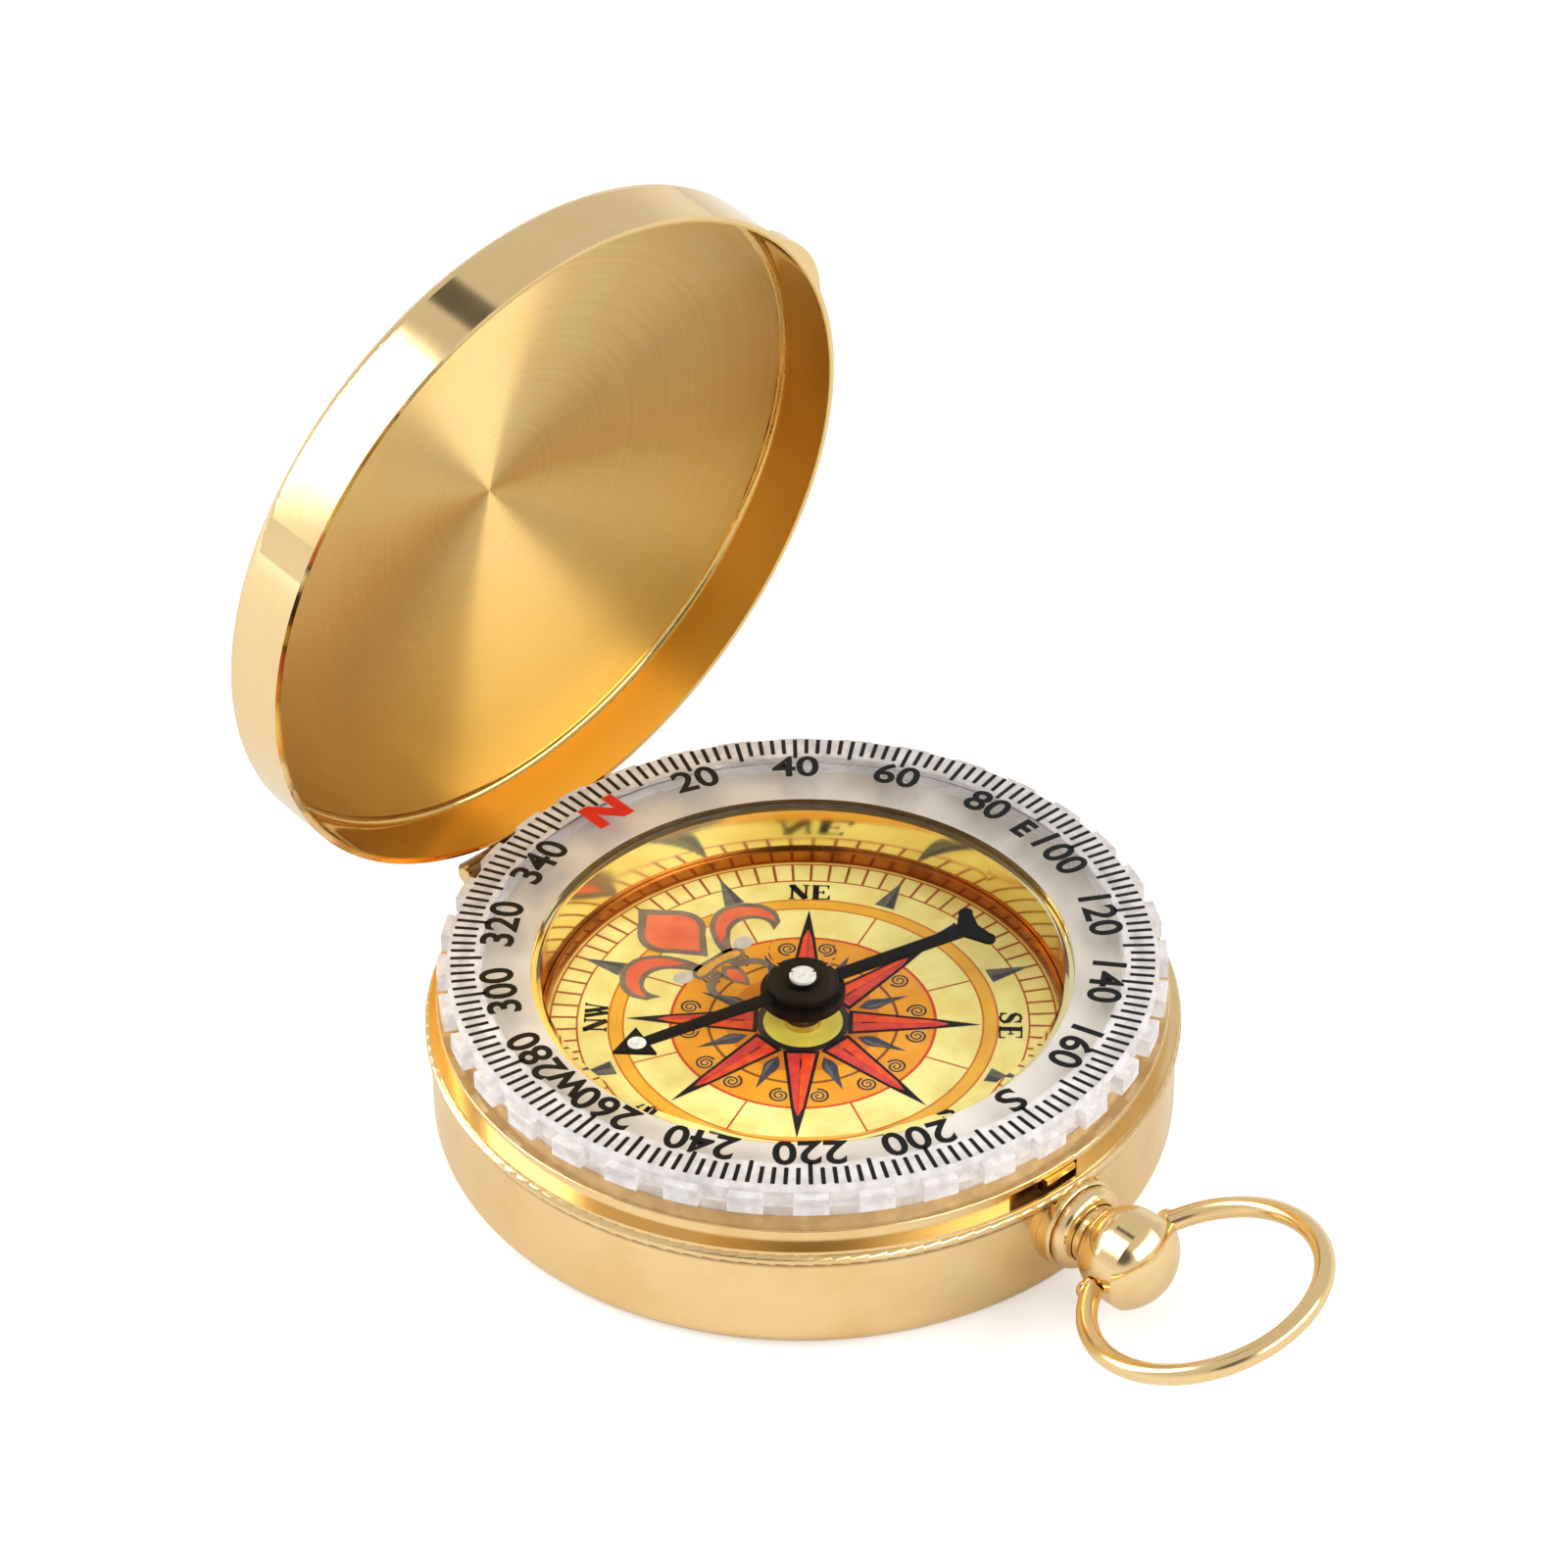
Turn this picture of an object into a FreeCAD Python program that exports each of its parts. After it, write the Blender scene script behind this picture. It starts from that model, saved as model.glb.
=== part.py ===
import FreeCAD, Part
import math
import os
import re
import Sketcher
from FreeCAD import Placement, Rotation, Vector

# A brass pocket compass in a hunter case, standing open on its flat bottom.
# Millimetres. The origin is the centre of the bottom, +Z is up, the crown
# points to -Y and the lid's hinge lies at +Y.

SIZES = {
    # the case and the lid that closes over it
    "case_radius": 25.0,
    "case_wall": 0.7,
    "case_floor": 0.8,
    "case_height": 7.45,
    "case_round": 1.5,
    "case_inner_round": 0.4,
    # the rim ring pressed into the case, with its bead, lip and inner web
    "bead_proud": 0.3,
    "bead_height": 0.75,
    "bead_round": 0.24,
    "step_proud": 0.05,
    "step_height": 0.3,
    "lip_inset": 0.5,
    "lip_height": 1.25,
    "lip_thick": 1.1,
    "lip_round": 0.12,
    "spigot_play": 0.02,
    "spigot_wall": 0.38,
    "spigot_height": 1.25,
    "web_thick": 0.6,
    "web_drop": 0.05,
    # the clear bezel, one moulding with the crystal
    "crystal_thick": 1.3,
    "bezel_face_inset": 1.5,
    "bezel_slope": 0.25,
    "lobe_drop": 0.5,
    "lobe_inset": 0.65,
    "lobe_height": 1.4,
    "lobe_count": 36,
    "notch_width": 1.95,
    "notch_depth": 0.95,
    "bezel_round": 0.15,
    "skirt_inset": 2.05,
    "skirt_wall": 0.75,
    "skirt_play": 0.05,
    "skirt_lift": 0.6,
    "hook_reach": 0.3,
    "hook_height": 0.45,
    "hook_play": 0.1,
    "rib_outset": 0.5,
    "rib_width": 0.35,
    "rib_depth": 0.45,
    "rib_slope": 0.25,
    "gate_radius": 2.2,
    "gate_height": 0.08,
    "ring_play": 0.01,
    # the well, the dial and what carries them
    "well_inset": 1.6,
    "sleeve_wall": 0.6,
    "sleeve_gap": 0.6,
    "foot_inset": 5.8,
    "plate_drop": 1.95,
    "plate_thick": 0.8,
    "card_thick": 0.3,
    "card_play": 0.05,
    "dial_ring_width": 0.3,
    "dial_ring_height": 1.0,
    "spacer_width": 3.6,
    "spacer_flange": 0.9,
    "web_play": 0.05,
    # the needle on its pivot
    "post_radius": 0.8,
    "post_collar": 1.25,
    "post_collar_height": 0.5,
    "post_shaft": 0.4,
    "post_rise": 2.6,
    "post_tip_length": 0.8,
    "cup_radius": 0.75,
    "cup_height": 0.75,
    "cup_mouth": 0.5,
    "cup_play": 0.05,
    "hub_radius": 2.85,
    "hub_drop": 0.5,
    "blade_rise": 0.3,
    "blade_thick": 0.22,
    "hub_cap_radius": 2.45,
    "hub_cap_height": 0.55,
    "hub_round": 0.2,
    "hub_neck": 1.5,
    "hub_seat_radius": 1.1,
    "hub_seat_height": 0.2,
    "needle_bearing": -74.2,
    "bezel_bearing": 2.85,
    "arrow_play": 3.35,
    "arrow_length": 2.5,
    "arrow_half_width": 1.5,
    "arm_root": 0.5,
    "arm_end": 0.38,
    "blade_ring": 2.2,
    "fork_play": 4.2,
    "fork_root": 1.3,
    "fork_dip": 0.05,
    "fork_spread": 1.55,
    "fork_round": 0.48,
    "lume_back": 1.8,
    "lume_radius": 0.62,
    "lume_proud": 0.05,
    "hub_dot_radius": 0.9,
    "hub_dot_height": 0.2,
    "needle_room": 0.83,
    # the lid, drawn closed and then turned open about the hinge pin
    "lid_wall": 0.45,
    "lid_seat": 0.1,
    "lid_room": 0.12,
    "lid_round": 1.0,
    "lid_inner_round": 0.5,
    "lid_dome": 3.0,
    "lid_open": 82.57,
    "thumb_bearing": 124.5,
    "thumb_reach": 0.65,
    "thumb_curve": 8.4,
    "thumb_height": 1.3,
    "thumb_inset": 0.2,
    "catch_depth": 0.25,
    "catch_low": 0.2,
    "catch_height": 0.5,
    "catch_left": 2.5,
    "catch_right": 0.9,
    # the hinge
    "hinge_reach": 0.96,
    "hinge_drop": 0.015,
    "knuckle_radius": 0.88,
    "knuckle_gap": 0.1,
    "lid_knuckle_half": 4.4,
    "case_knuckle_end": 7.0,
    "spring_gap_half": 1.7,
    "pin_radius": 0.4,
    "pin_play": 0.03,
    "pin_press_play": 0.01,
    "pin_head": 0.6,
    "pin_head_length": 0.25,
    "leaf_thick": 0.45,
    "lid_leaf_height": 2.0,
    "case_leaf_height": 2.6,
    # the lift spring that throws the lid open
    "spring_thick": 0.3,
    "spring_inset": 0.75,
    "spring_drop": 1.35,
    "spring_rise": 1.15,
    "lift_start_angle": 93.0,
    "lift_end_angle": 48.0,
    "tongue_half": 1.2,
    "tongue_rise": 0.85,
    "tongue_outset": 0.15,
    "jog_drop": 0.5,
    "jog_height": 0.3,
    "window_play": 0.3,
    "spring_foot": 2.6,
    "spring_foot_thick": 0.3,
    "riser_width": 2.0,
    "screw_head": 0.95,
    "screw_head_height": 0.45,
    "screw_shank": 0.5,
    "screw_depth": 0.5,
    "screw_slot_width": 0.25,
    "screw_slot_depth": 0.2,
    # the latch lever, its post and its return spring
    "post_offset": 13.0,
    "lever_inset": 1.5,
    "lever_thick": 0.4,
    "eye_radius": 0.95,
    "latch_post_radius": 0.5,
    "latch_post_base": 0.6,
    "eye_play": 0.04,
    "eye_end_play": 0.1,
    "lever_right": 0.5,
    "lever_left": 2.1,
    "lever_play": 0.15,
    "tongue_thick": 0.25,
    "tongue_inset": 0.88,
    "nose_reach": 0.6,
    "nose_lift": 0.35,
    "nose_thick": 0.4,
    "slot_height": 0.8,
    "slot_left": 4.85,
    "slot_right": 0.85,
    "return_inset": 2.1,
    "return_start_angle": -92.0,
    "return_pad": 2.2,
    "return_gap": 0.2,
    "return_end_angle": -131.0,
    # the crown: neck, stem, spring and ball
    "crown_drop": 2.5,
    "neck_spigot": 2.0,
    "neck_spigot_play": 0.02,
    "neck_chamber": 1.75,
    "neck_ring_radius": 3.15,
    "neck_ring_reach": 0.85,
    "neck_groove_radius": 2.7,
    "neck_groove_width": 0.15,
    "neck_barrel_radius": 2.95,
    "neck_reach": 1.9,
    "neck_mouth": 2.12,
    "neck_mouth_depth": 0.9,
    "neck_sink": 0.5,
    "neck_ring_round": 0.25,
    "neck_barrel_round": 0.75,
    "neck_floor_reach": 0.15,
    "stem_radius": 1.0,
    "stem_play": 0.04,
    "stem_head_radius": 1.4,
    "stem_head_thick": 0.3,
    "stem_head_gap": 0.08,
    "stem_tip_radius": 0.6,
    "stem_tip_gap": 0.05,
    "swivel_head_radius": 1.4,
    "swivel_head_length": 0.6,
    "swivel_play": 0.05,
    "swivel_reach": 2.95,
    "coil_radius": 1.5,
    "coil_wire": 0.13,
    "coil_turns": 4.0,
    "coil_end_gap": 0.1,
    "ball_reach": 4.92,
    "ball_radius": 3.25,
    "ball_band": 1.5,
    "ball_dome": 1.78,
    "ball_roll": 11.0,
    "collar_play": 0.07,
    "collar_sink": 0.35,
    # the bow
    "bow_radius": 7.85,
    "bow_wire": 0.7,
    "bow_back": 0.35,
    "bow_angle": 14.7,
    "bow_end": 3.65,
    "bow_pin": 0.5,
    "bow_pin_depth": 1.1,
    "bow_pin_play": 0.04,
    "bow_stub_gap": 0.07,
    "bow_stub_end": 3.8,
    # one overrun serves every cut
    "overrun": 1.0,
}

doc = FreeCAD.newDocument("pocket_compass")
sheet = doc.addObject("Spreadsheet::Sheet", "Sizes")
for row, (alias, size) in enumerate(SIZES.items(), start=1):
    sheet.set(f"A{row}", alias)
    sheet.set(f"B{row}", str(size))
    sheet.setAlias(f"B{row}", alias)
doc.recompute()

# Derived sizes are cells too, each a formula of the cells above.
DERIVED = {
    "case_inner": "case_radius - case_wall",
    "bead_radius": "case_radius + bead_proud",
    "rim_top": "case_height + bead_height + step_height",
    "lip_radius": "case_radius - lip_inset",
    "lip_top": "rim_top + lip_height",
    "bezel_face_radius": "case_radius - bezel_face_inset",
    "lobe_radius": "case_radius - lobe_inset",
    "skirt_radius": "case_radius - skirt_inset",
    "lip_bore": "skirt_radius + skirt_play",
    "hook_radius": "skirt_radius + hook_reach",
    "track_radius": "hook_radius + hook_play",
    "web_top": "case_height + web_drop",
    "web_bottom": "web_top - web_thick",
    "skirt_bottom": "web_top + skirt_lift",
    "plate_bottom": "case_height - plate_drop",
    "plate_top": "plate_bottom + plate_thick",
    "card_top": "plate_top + card_thick",
    "foot_radius": "case_radius - foot_inset",
    "well_radius": "foot_radius - well_inset",
    "rib_radius": "well_radius + rib_outset",
    "sleeve_outer": "well_radius + sleeve_wall",
    "web_bore": "sleeve_outer + web_play",
    "arrow_tip": "well_radius - arrow_play",
    "arrow_base": "arrow_tip - arrow_length",
    "lume_place": "arrow_tip - lume_back",
    "fork_place": "well_radius - fork_play",
    "fork_notch": "fork_place + fork_dip",
    "fork_lean": "fork_round / sqrt(2)",
    "tail_reach": "fork_place - fork_root",
    "post_tip_height": "card_top + post_rise",
    "hub_bottom": "post_tip_height - hub_drop",
    "blade_bottom": "post_tip_height + blade_rise",
    "crystal_bottom": "cap_top + hub_seat_height + hub_dot_height + needle_room",
    "bezel_top": "crystal_bottom + crystal_thick",
    "sleeve_top": "crystal_bottom - sleeve_gap",
    "lobe_top": "bezel_top - lobe_drop",
    "lobe_bottom": "lobe_top - lobe_height",
    "blade_top": "blade_bottom + blade_thick",
    "cap_top": "blade_top + hub_cap_height",
    "lid_inner": "case_radius - lid_wall",
    "lid_bottom": "rim_top + lid_seat",
    "lid_top": "bezel_top + gate_height + lid_room + lid_wall",
    "lid_depth": "lid_top - lid_bottom",
    "lid_floor": "lid_top - lid_wall",
    "hinge_y": "case_radius + hinge_reach",
    "hinge_z": "lid_bottom - hinge_drop",
    "crown_height": "case_height - crown_drop",
    "spring_low": "crown_height - spring_drop",
    "spring_high": "crown_height + spring_rise",
    "spring_outer": "case_inner - spring_inset",
    "tongue_jog": "rim_top - jog_drop",
    "tongue_top": "rim_top + tongue_rise",
    "lever_top": "web_bottom - lever_play",
    "slot_low": "rim_top",
    "slot_high": "slot_low + slot_height",
    "nose_low": "slot_low + nose_lift",
    "nose_high": "nose_low + nose_thick",
    "lever_radius": "case_radius - lever_inset",
    "tongue_radius": "case_radius - tongue_inset",
    "lever_y": "sqrt((lever_radius - lever_thick / 2) ^ 2 - post_offset ^ 2)",
    "stem_tip_end": "lever_radius + stem_tip_gap",
    "stem_head_end": "case_inner - stem_head_gap",
    "neck_ring_end": "case_radius + neck_ring_reach",
    "neck_end": "case_radius + neck_reach",
    "neck_floor": "case_radius + neck_floor_reach",
    "swivel_place": "case_radius + swivel_reach",
    "ball_place": "case_radius + ball_reach",
    "ball_back": "ball_place - ball_radius",
    "coil_seat": "ball_place - sqrt(ball_radius ^ 2 - coil_radius ^ 2)",
    "collar_radius": "neck_mouth - collar_play",
    "collar_end": "neck_end - collar_sink",
    "bow_offset": "sqrt(bow_radius ^ 2 - bow_end ^ 2) + bow_back",
    "dome_curve": "(ball_radius ^ 2 + ball_dome ^ 2) / (2 * ball_dome)",
    "return_outer": "case_inner - return_inset",
}
for row, (alias, formula) in enumerate(DERIVED.items(), start=len(SIZES) + 1):
    sheet.set(f"A{row}", alias)
    sheet.set(f"B{row}", "=" + formula)
    sheet.setAlias(f"B{row}", alias)
doc.recompute()

ALIASES = set(SIZES) | set(DERIVED)
UP = Vector(0, 0, 1)
ACROSS = Vector(1, 0, 0)
ALONG = Vector(0, 1, 0)
# places closer than this are one place
SAME = 1e-4


# An expression in plain size names, as the document reads it.
def sized(text):
    return re.sub(r"[a-z_]+", lambda word: "Sizes." + word[0] if word[0] in ALIASES else word[0], text)


def value(text):
    found = sheet.evalExpression(sized(text))
    return float(getattr(found, "Value", found))


def bind(thing, **properties):
    for name, text in properties.items():
        thing.setExpression(name, sized(text))
    return thing


def place(thing, x="0", y="0", z="0", axis=UP, angle="0"):
    thing.Placement = Placement(Vector(value(x), value(y), value(z)), Rotation(axis, value(angle)))
    for name, text in (("x", x), ("y", y), ("z", z)):
        thing.setExpression("Placement.Base." + name, sized(text))
    return thing


def own_plane(body, role):
    return next(item for item in body.Origin.OriginFeatures if item.Role == role)


# A corner, as a side and which of its ends, is held at its distance from the
# sketch's origin, or on the axis.
def hold(sketch, kind, corner, text):
    if text == "0":
        axis = -2 if kind == "DistanceX" else -1
        sketch.addConstraint(Sketcher.Constraint("PointOnObject", *corner, axis))
        return
    number = sketch.addConstraint(Sketcher.Constraint(kind, -1, 1, *corner, value(text)))
    sketch.setExpression(f"Constraints[{number}]", sized(text))


# An arc about a point on the vertical axis. Its ends count anticlockwise, so
# one that is drawn clockwise has them the other way round.
def domed_side(start, end):
    middle = (start.Length**2 - end.Length**2) / (2 * (start.y - end.y))
    turns = [math.atan2(corner.y - middle, corner.x) for corner in (start, end)]
    circle = Part.Circle(Vector(0, middle, 0), UP, math.hypot(start.x, start.y - middle))
    return Part.ArcOfCircle(circle, min(turns), max(turns)), (1, 2) if turns[0] < turns[1] else (2, 1)


# The side that starts at a corner with the mark "domed" is an arc, the others are straight.
def draw_outline(body, name, role, outline):
    sketch = body.newObject("Sketcher::SketchObject", name)
    sketch.AttachmentSupport = (own_plane(body, role), "")
    sketch.MapMode = "FlatFace"
    corners = [Vector(value(across), value(along), 0) for across, along, *_ in outline]
    ends = []
    for number, (_, _, *mark) in enumerate(outline):
        start, end = corners[number], corners[(number + 1) % len(corners)]
        side, order = domed_side(start, end) if mark else (Part.LineSegment(start, end), (1, 2))
        sketch.addGeometry(side, False)
        ends.append(order)
        if mark:
            sketch.addConstraint(Sketcher.Constraint("PointOnObject", number, 3, -2))
    for number, (_, last) in enumerate(ends):
        following = (number + 1) % len(corners)
        sketch.addConstraint(Sketcher.Constraint("Coincident", number, last, following, ends[following][0]))
    for number, (across, along, *_) in enumerate(outline):
        corner = (number, ends[number][0])
        hold(sketch, "DistanceX", corner, across)
        hold(sketch, "DistanceY", corner, along)
    return sketch


# A dome's top is an edge without a curve.
def is_ring(edge, radius, height):
    if edge.Degenerated or not isinstance(edge.Curve, Part.Circle):
        return False
    curve = edge.Curve
    return max(abs(curve.Radius - radius), abs(curve.Center.z - height)) < SAME


# A turned piece: the outline is pairs of radius and height, then the corners
# named by their radius and height are rounded.
def turned(name, outline, rounds=()):
    body = doc.addObject("PartDesign::Body", name)
    sketch = draw_outline(body, name + "_outline", "XZ_Plane", outline)
    revolution = body.newObject("PartDesign::Revolution", name + "_turning")
    revolution.Profile = sketch
    revolution.ReferenceAxis = (sketch, ["V_Axis"])
    revolution.Angle = 360
    doc.recompute()
    for number, (size, places) in enumerate(rounds):
        base = body.Tip
        rings = [(value(radius), value(height)) for radius, height in places]
        names = [
            f"Edge{index}"
            for index, edge in enumerate(base.Shape.Edges, start=1)
            if any(is_ring(edge, radius, height) for radius, height in rings)
        ]
        fillet = body.newObject("PartDesign::Fillet", f"{name}_round_{number}")
        fillet.Base = (base, names)
        bind(fillet, Radius=size)
        doc.recompute()
    return body


# A padded piece: an outline in the ground plane raised from one height to another.
def padded(name, outline, low, high):
    body = doc.addObject("PartDesign::Body", name)
    sketch = draw_outline(body, name + "_outline", "XY_Plane", outline)
    pad = body.newObject("PartDesign::Pad", name + "_pad")
    pad.Profile = sketch
    bind(pad, Length=f"({high}) - ({low})")
    place(body, z=low)
    doc.recompute()
    return body


def rod(name, radius, length):
    return bind(doc.addObject("Part::Cylinder", name), Radius=radius, Height=length)


def block(name, x, y, z):
    (left, right), (front, back), (low, high) = x, y, z
    box = doc.addObject("Part::Box", name)
    bind(
        box,
        Length=f"({right}) - ({left})",
        Width=f"({back}) - ({front})",
        Height=f"({high}) - ({low})",
    )
    return place(box, left, front, low)


def cut(name, base, *tools):
    for number, tool in enumerate(tools):
        last = number == len(tools) - 1
        result = doc.addObject("Part::Cut", name if last else f"{name}_less_{number}")
        result.Base = base
        result.Tool = tool
        base = result
    doc.recompute()
    return base


def fuse(name, *pieces):
    result = doc.addObject("Part::MultiFuse", name)
    result.Shapes = list(pieces)
    doc.recompute()
    return result


def common(name, *pieces):
    result = doc.addObject("Part::MultiCommon", name)
    result.Shapes = list(pieces)
    doc.recompute()
    return result


# Angles run from +X towards +Y, and a strip ends where its sweep ends.
def arc_strip(name, outer, thick, low, high, start, end):
    rings = []
    for side, radius in (("outer", outer), ("inner", f"{outer} - {thick}")):
        ring = rod(f"{name}_{side}", radius, f"({high}) - ({low})")
        bind(ring, Angle=f"({start}) - ({end})")
        rings.append(place(ring, z=low, angle=end))
    return cut(name, *rings)


def outward(thing):
    return place(thing, z="crown_height", axis=ACROSS, angle="90")


NODES = {}


def node(name, thing):
    thing.Label = name
    NODES[name] = thing
    return thing


# The case: a drawn shell with a hole for the neck and two tapped screw seats.
def case_shell():
    shell = turned(
        "case_blank",
        [
            ("0", "0"),
            ("case_radius", "0"),
            ("case_radius", "case_height"),
            ("case_inner", "case_height"),
            ("case_inner", "case_floor"),
            ("0", "case_floor"),
        ],
        [
            ("case_round", [("case_radius", "0")]),
            ("case_inner_round", [("case_inner", "case_floor")]),
        ],
    )
    hole = outward(rod("neck_hole", "neck_spigot + neck_spigot_play", "case_radius + overrun"))
    seats = [
        place(
            rod(f"screw_seat_{number}", "screw_shank", "screw_depth + overrun"),
            x,
            y,
            "case_floor - screw_depth",
        )
        for number, (x, y) in enumerate(screw_places())
    ]
    return node("case_shell", cut("case_cut", shell, hole, *seats))


# Each spring's foot lies inwards of its fixed end, at this place.
def foot_place(outer, angle):
    reach = f"({outer} - spring_foot / 2)"
    return f"{reach} * cos({angle} * 1deg)", f"{reach} * sin({angle} * 1deg)"


def screw_places():
    return [
        foot_place("spring_outer", "lift_end_angle"),
        foot_place("return_outer", "return_end_angle"),
    ]


def rim_ring():
    ring = turned(
        "rim_blank",
        [
            ("case_inner - spigot_play", "case_height - spigot_height"),
            ("case_inner - spigot_play", "case_height"),
            ("bead_radius", "case_height"),
            ("bead_radius", "case_height + bead_height"),
            ("case_radius + step_proud", "case_height + bead_height"),
            ("case_radius + step_proud", "rim_top"),
            ("lip_radius", "rim_top"),
            ("lip_radius", "lip_top"),
            ("lip_bore", "lip_top"),
            ("lip_bore", "lip_top - lip_thick"),
            ("track_radius", "lip_top - lip_thick"),
            ("track_radius", "web_top"),
            ("web_bore", "web_top"),
            ("web_bore", "web_bottom"),
            ("case_inner - spigot_play - spigot_wall", "web_bottom"),
            ("case_inner - spigot_play - spigot_wall", "case_height - spigot_height"),
        ],
        [
            ("bead_round", [("bead_radius", "case_height"), ("bead_radius", "case_height + bead_height")]),
            ("lip_round", [("lip_radius", "lip_top")]),
        ],
    )
    hinge_notch = block(
        "hinge_notch",
        ("-lid_knuckle_half - knuckle_gap", "lid_knuckle_half + knuckle_gap"),
        ("case_radius - window_play", "bead_radius + overrun"),
        ("case_height - overrun", "rim_top + overrun"),
    )
    lift_window = block(
        "lift_window",
        ("-tongue_half - window_play", "tongue_half + window_play"),
        ("spring_outer - spring_thick - window_play", "bead_radius + overrun"),
        ("spring_high - window_play", "tongue_jog + window_play"),
    )
    tongue_notch = block(
        "tongue_notch",
        ("-tongue_half - window_play", "tongue_half + window_play"),
        ("lip_radius", "bead_radius + overrun"),
        ("tongue_jog", "rim_top + overrun"),
    )
    latch_window = block(
        "latch_window",
        ("-lever_left - window_play", "lever_right + window_play"),
        ("-case_inner - window_play", "-lip_bore"),
        ("spring_high - window_play", "slot_high"),
    )
    latch_slot = block(
        "latch_slot",
        ("-slot_left", "slot_right"),
        ("-case_radius - overrun", "-lip_bore"),
        ("slot_low", "slot_high"),
    )
    cutters = (hinge_notch, lift_window, tongue_notch, latch_window, latch_slot)
    return node("rim_ring", cut("rim_cut", ring, *cutters))


def bezel_crystal():
    body = turned(
        "bezel_crystal",
        [
            ("0", "bezel_top + gate_height"),
            ("gate_radius", "bezel_top + gate_height"),
            ("gate_radius + gate_height", "bezel_top"),
            ("bezel_face_radius", "bezel_top"),
            ("bezel_face_radius + bezel_slope", "lobe_top"),
            ("lobe_radius", "lobe_top"),
            ("lobe_radius", "lobe_bottom"),
            ("skirt_radius", "lobe_bottom"),
            ("skirt_radius", "skirt_bottom + hook_height"),
            ("hook_radius", "skirt_bottom + hook_height"),
            ("hook_radius", "skirt_bottom"),
            ("skirt_radius - skirt_wall", "skirt_bottom"),
            ("skirt_radius - skirt_wall", "crystal_bottom"),
            ("rib_radius", "crystal_bottom"),
            ("rib_radius", "crystal_bottom - rib_depth"),
            ("rib_radius - rib_width", "crystal_bottom - rib_depth"),
            ("rib_radius - rib_width - rib_slope", "crystal_bottom"),
            ("0", "crystal_bottom"),
        ],
        [("bezel_round", [("lobe_radius", "lobe_top"), ("lobe_radius", "lobe_bottom")])],
    )
    # The lobes are what 36 equal notches leave, each lobe on a ten-degree mark.
    corners = [
        ("-notch_width / 2", "lobe_radius - notch_depth"),
        ("notch_width / 2", "lobe_radius - notch_depth"),
        ("notch_width / 2", "lobe_radius + overrun"),
        ("-notch_width / 2", "lobe_radius + overrun"),
    ]
    sketch = draw_outline(body, "notch_outline", "XY_Plane", corners)
    bind(sketch, **{"AttachmentOffset.Base.z": "lobe_bottom - hook_play"})
    pocket = body.newObject("PartDesign::Pocket", "notch")
    pocket.Profile = sketch
    pocket.Reversed = True
    bind(pocket, Length="lobe_height + 2 * hook_play")
    doc.recompute()
    pattern = body.newObject("PartDesign::PolarPattern", "notches")
    pattern.Originals = [pocket]
    pattern.Axis = (sketch, ["N_Axis"])
    pattern.Angle = 360
    bind(pattern, Occurrences="lobe_count")
    body.Tip = pattern
    doc.recompute()
    body.Placement = Placement(Vector(), Rotation(UP, value("180 / lobe_count - bezel_bearing")))
    return node("bezel_crystal", body)


def bezel_friction_ring():
    ring = doc.addObject("Part::Torus", "friction_ring")
    bind(
        ring,
        Radius1="skirt_radius - skirt_wall / 2",
        Radius2="(skirt_bottom - web_top) / 2 - ring_play",
    )
    return node("bezel_friction_ring", place(ring, z="(skirt_bottom + web_top) / 2"))


# The spacer carries the dial plate above the case's floor.
def spacer_ring():
    return node(
        "spacer_ring",
        turned(
            "spacer",
            [
                ("foot_radius - spacer_width", "case_floor"),
                ("foot_radius", "case_floor"),
                ("foot_radius", "plate_bottom"),
                ("foot_radius - spacer_width", "plate_bottom"),
                ("foot_radius - spacer_width", "plate_bottom - spacer_flange"),
                ("foot_radius - spacer_flange", "plate_bottom - spacer_flange"),
                ("foot_radius - spacer_flange", "case_floor + spacer_flange"),
                ("foot_radius - spacer_width", "case_floor + spacer_flange"),
            ],
        ),
    )


def dial_plate():
    return node(
        "dial_plate",
        turned(
            "dial_plate",
            [
                ("post_radius", "plate_bottom"),
                ("foot_radius", "plate_bottom"),
                ("foot_radius", "plate_top"),
                ("post_radius", "plate_top"),
            ],
        ),
    )


def dial_card():
    return node(
        "dial_card",
        turned(
            "dial_card",
            [
                ("post_radius + card_play", "plate_top"),
                ("well_radius - card_play", "plate_top"),
                ("well_radius - card_play", "card_top"),
                ("post_radius + card_play", "card_top"),
            ],
        ),
    )


def dial_ring():
    return node(
        "dial_ring",
        turned(
            "dial_ring",
            [
                ("well_radius - card_play - dial_ring_width", "card_top"),
                ("well_radius - card_play", "card_top"),
                ("well_radius - card_play", "card_top + dial_ring_height"),
                ("well_radius - card_play - dial_ring_width", "card_top + dial_ring_height"),
            ],
        ),
    )


def well_sleeve():
    return node(
        "well_sleeve",
        turned(
            "well_sleeve",
            [
                ("well_radius", "plate_top"),
                ("foot_radius", "plate_top"),
                ("foot_radius", "web_bottom"),
                ("sleeve_outer", "web_bottom"),
                ("sleeve_outer", "sleeve_top"),
                ("well_radius", "sleeve_top"),
            ],
        ),
    )


def pivot_post():
    return node(
        "pivot_post",
        turned(
            "pivot_post",
            [
                ("0", "plate_bottom"),
                ("post_radius", "plate_bottom"),
                ("post_radius", "card_top"),
                ("post_collar", "card_top"),
                ("post_collar", "card_top + post_collar_height"),
                ("post_shaft", "card_top + post_collar_height"),
                ("post_shaft", "post_tip_height - post_tip_length"),
                ("0", "post_tip_height"),
            ],
        ),
    )


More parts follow.
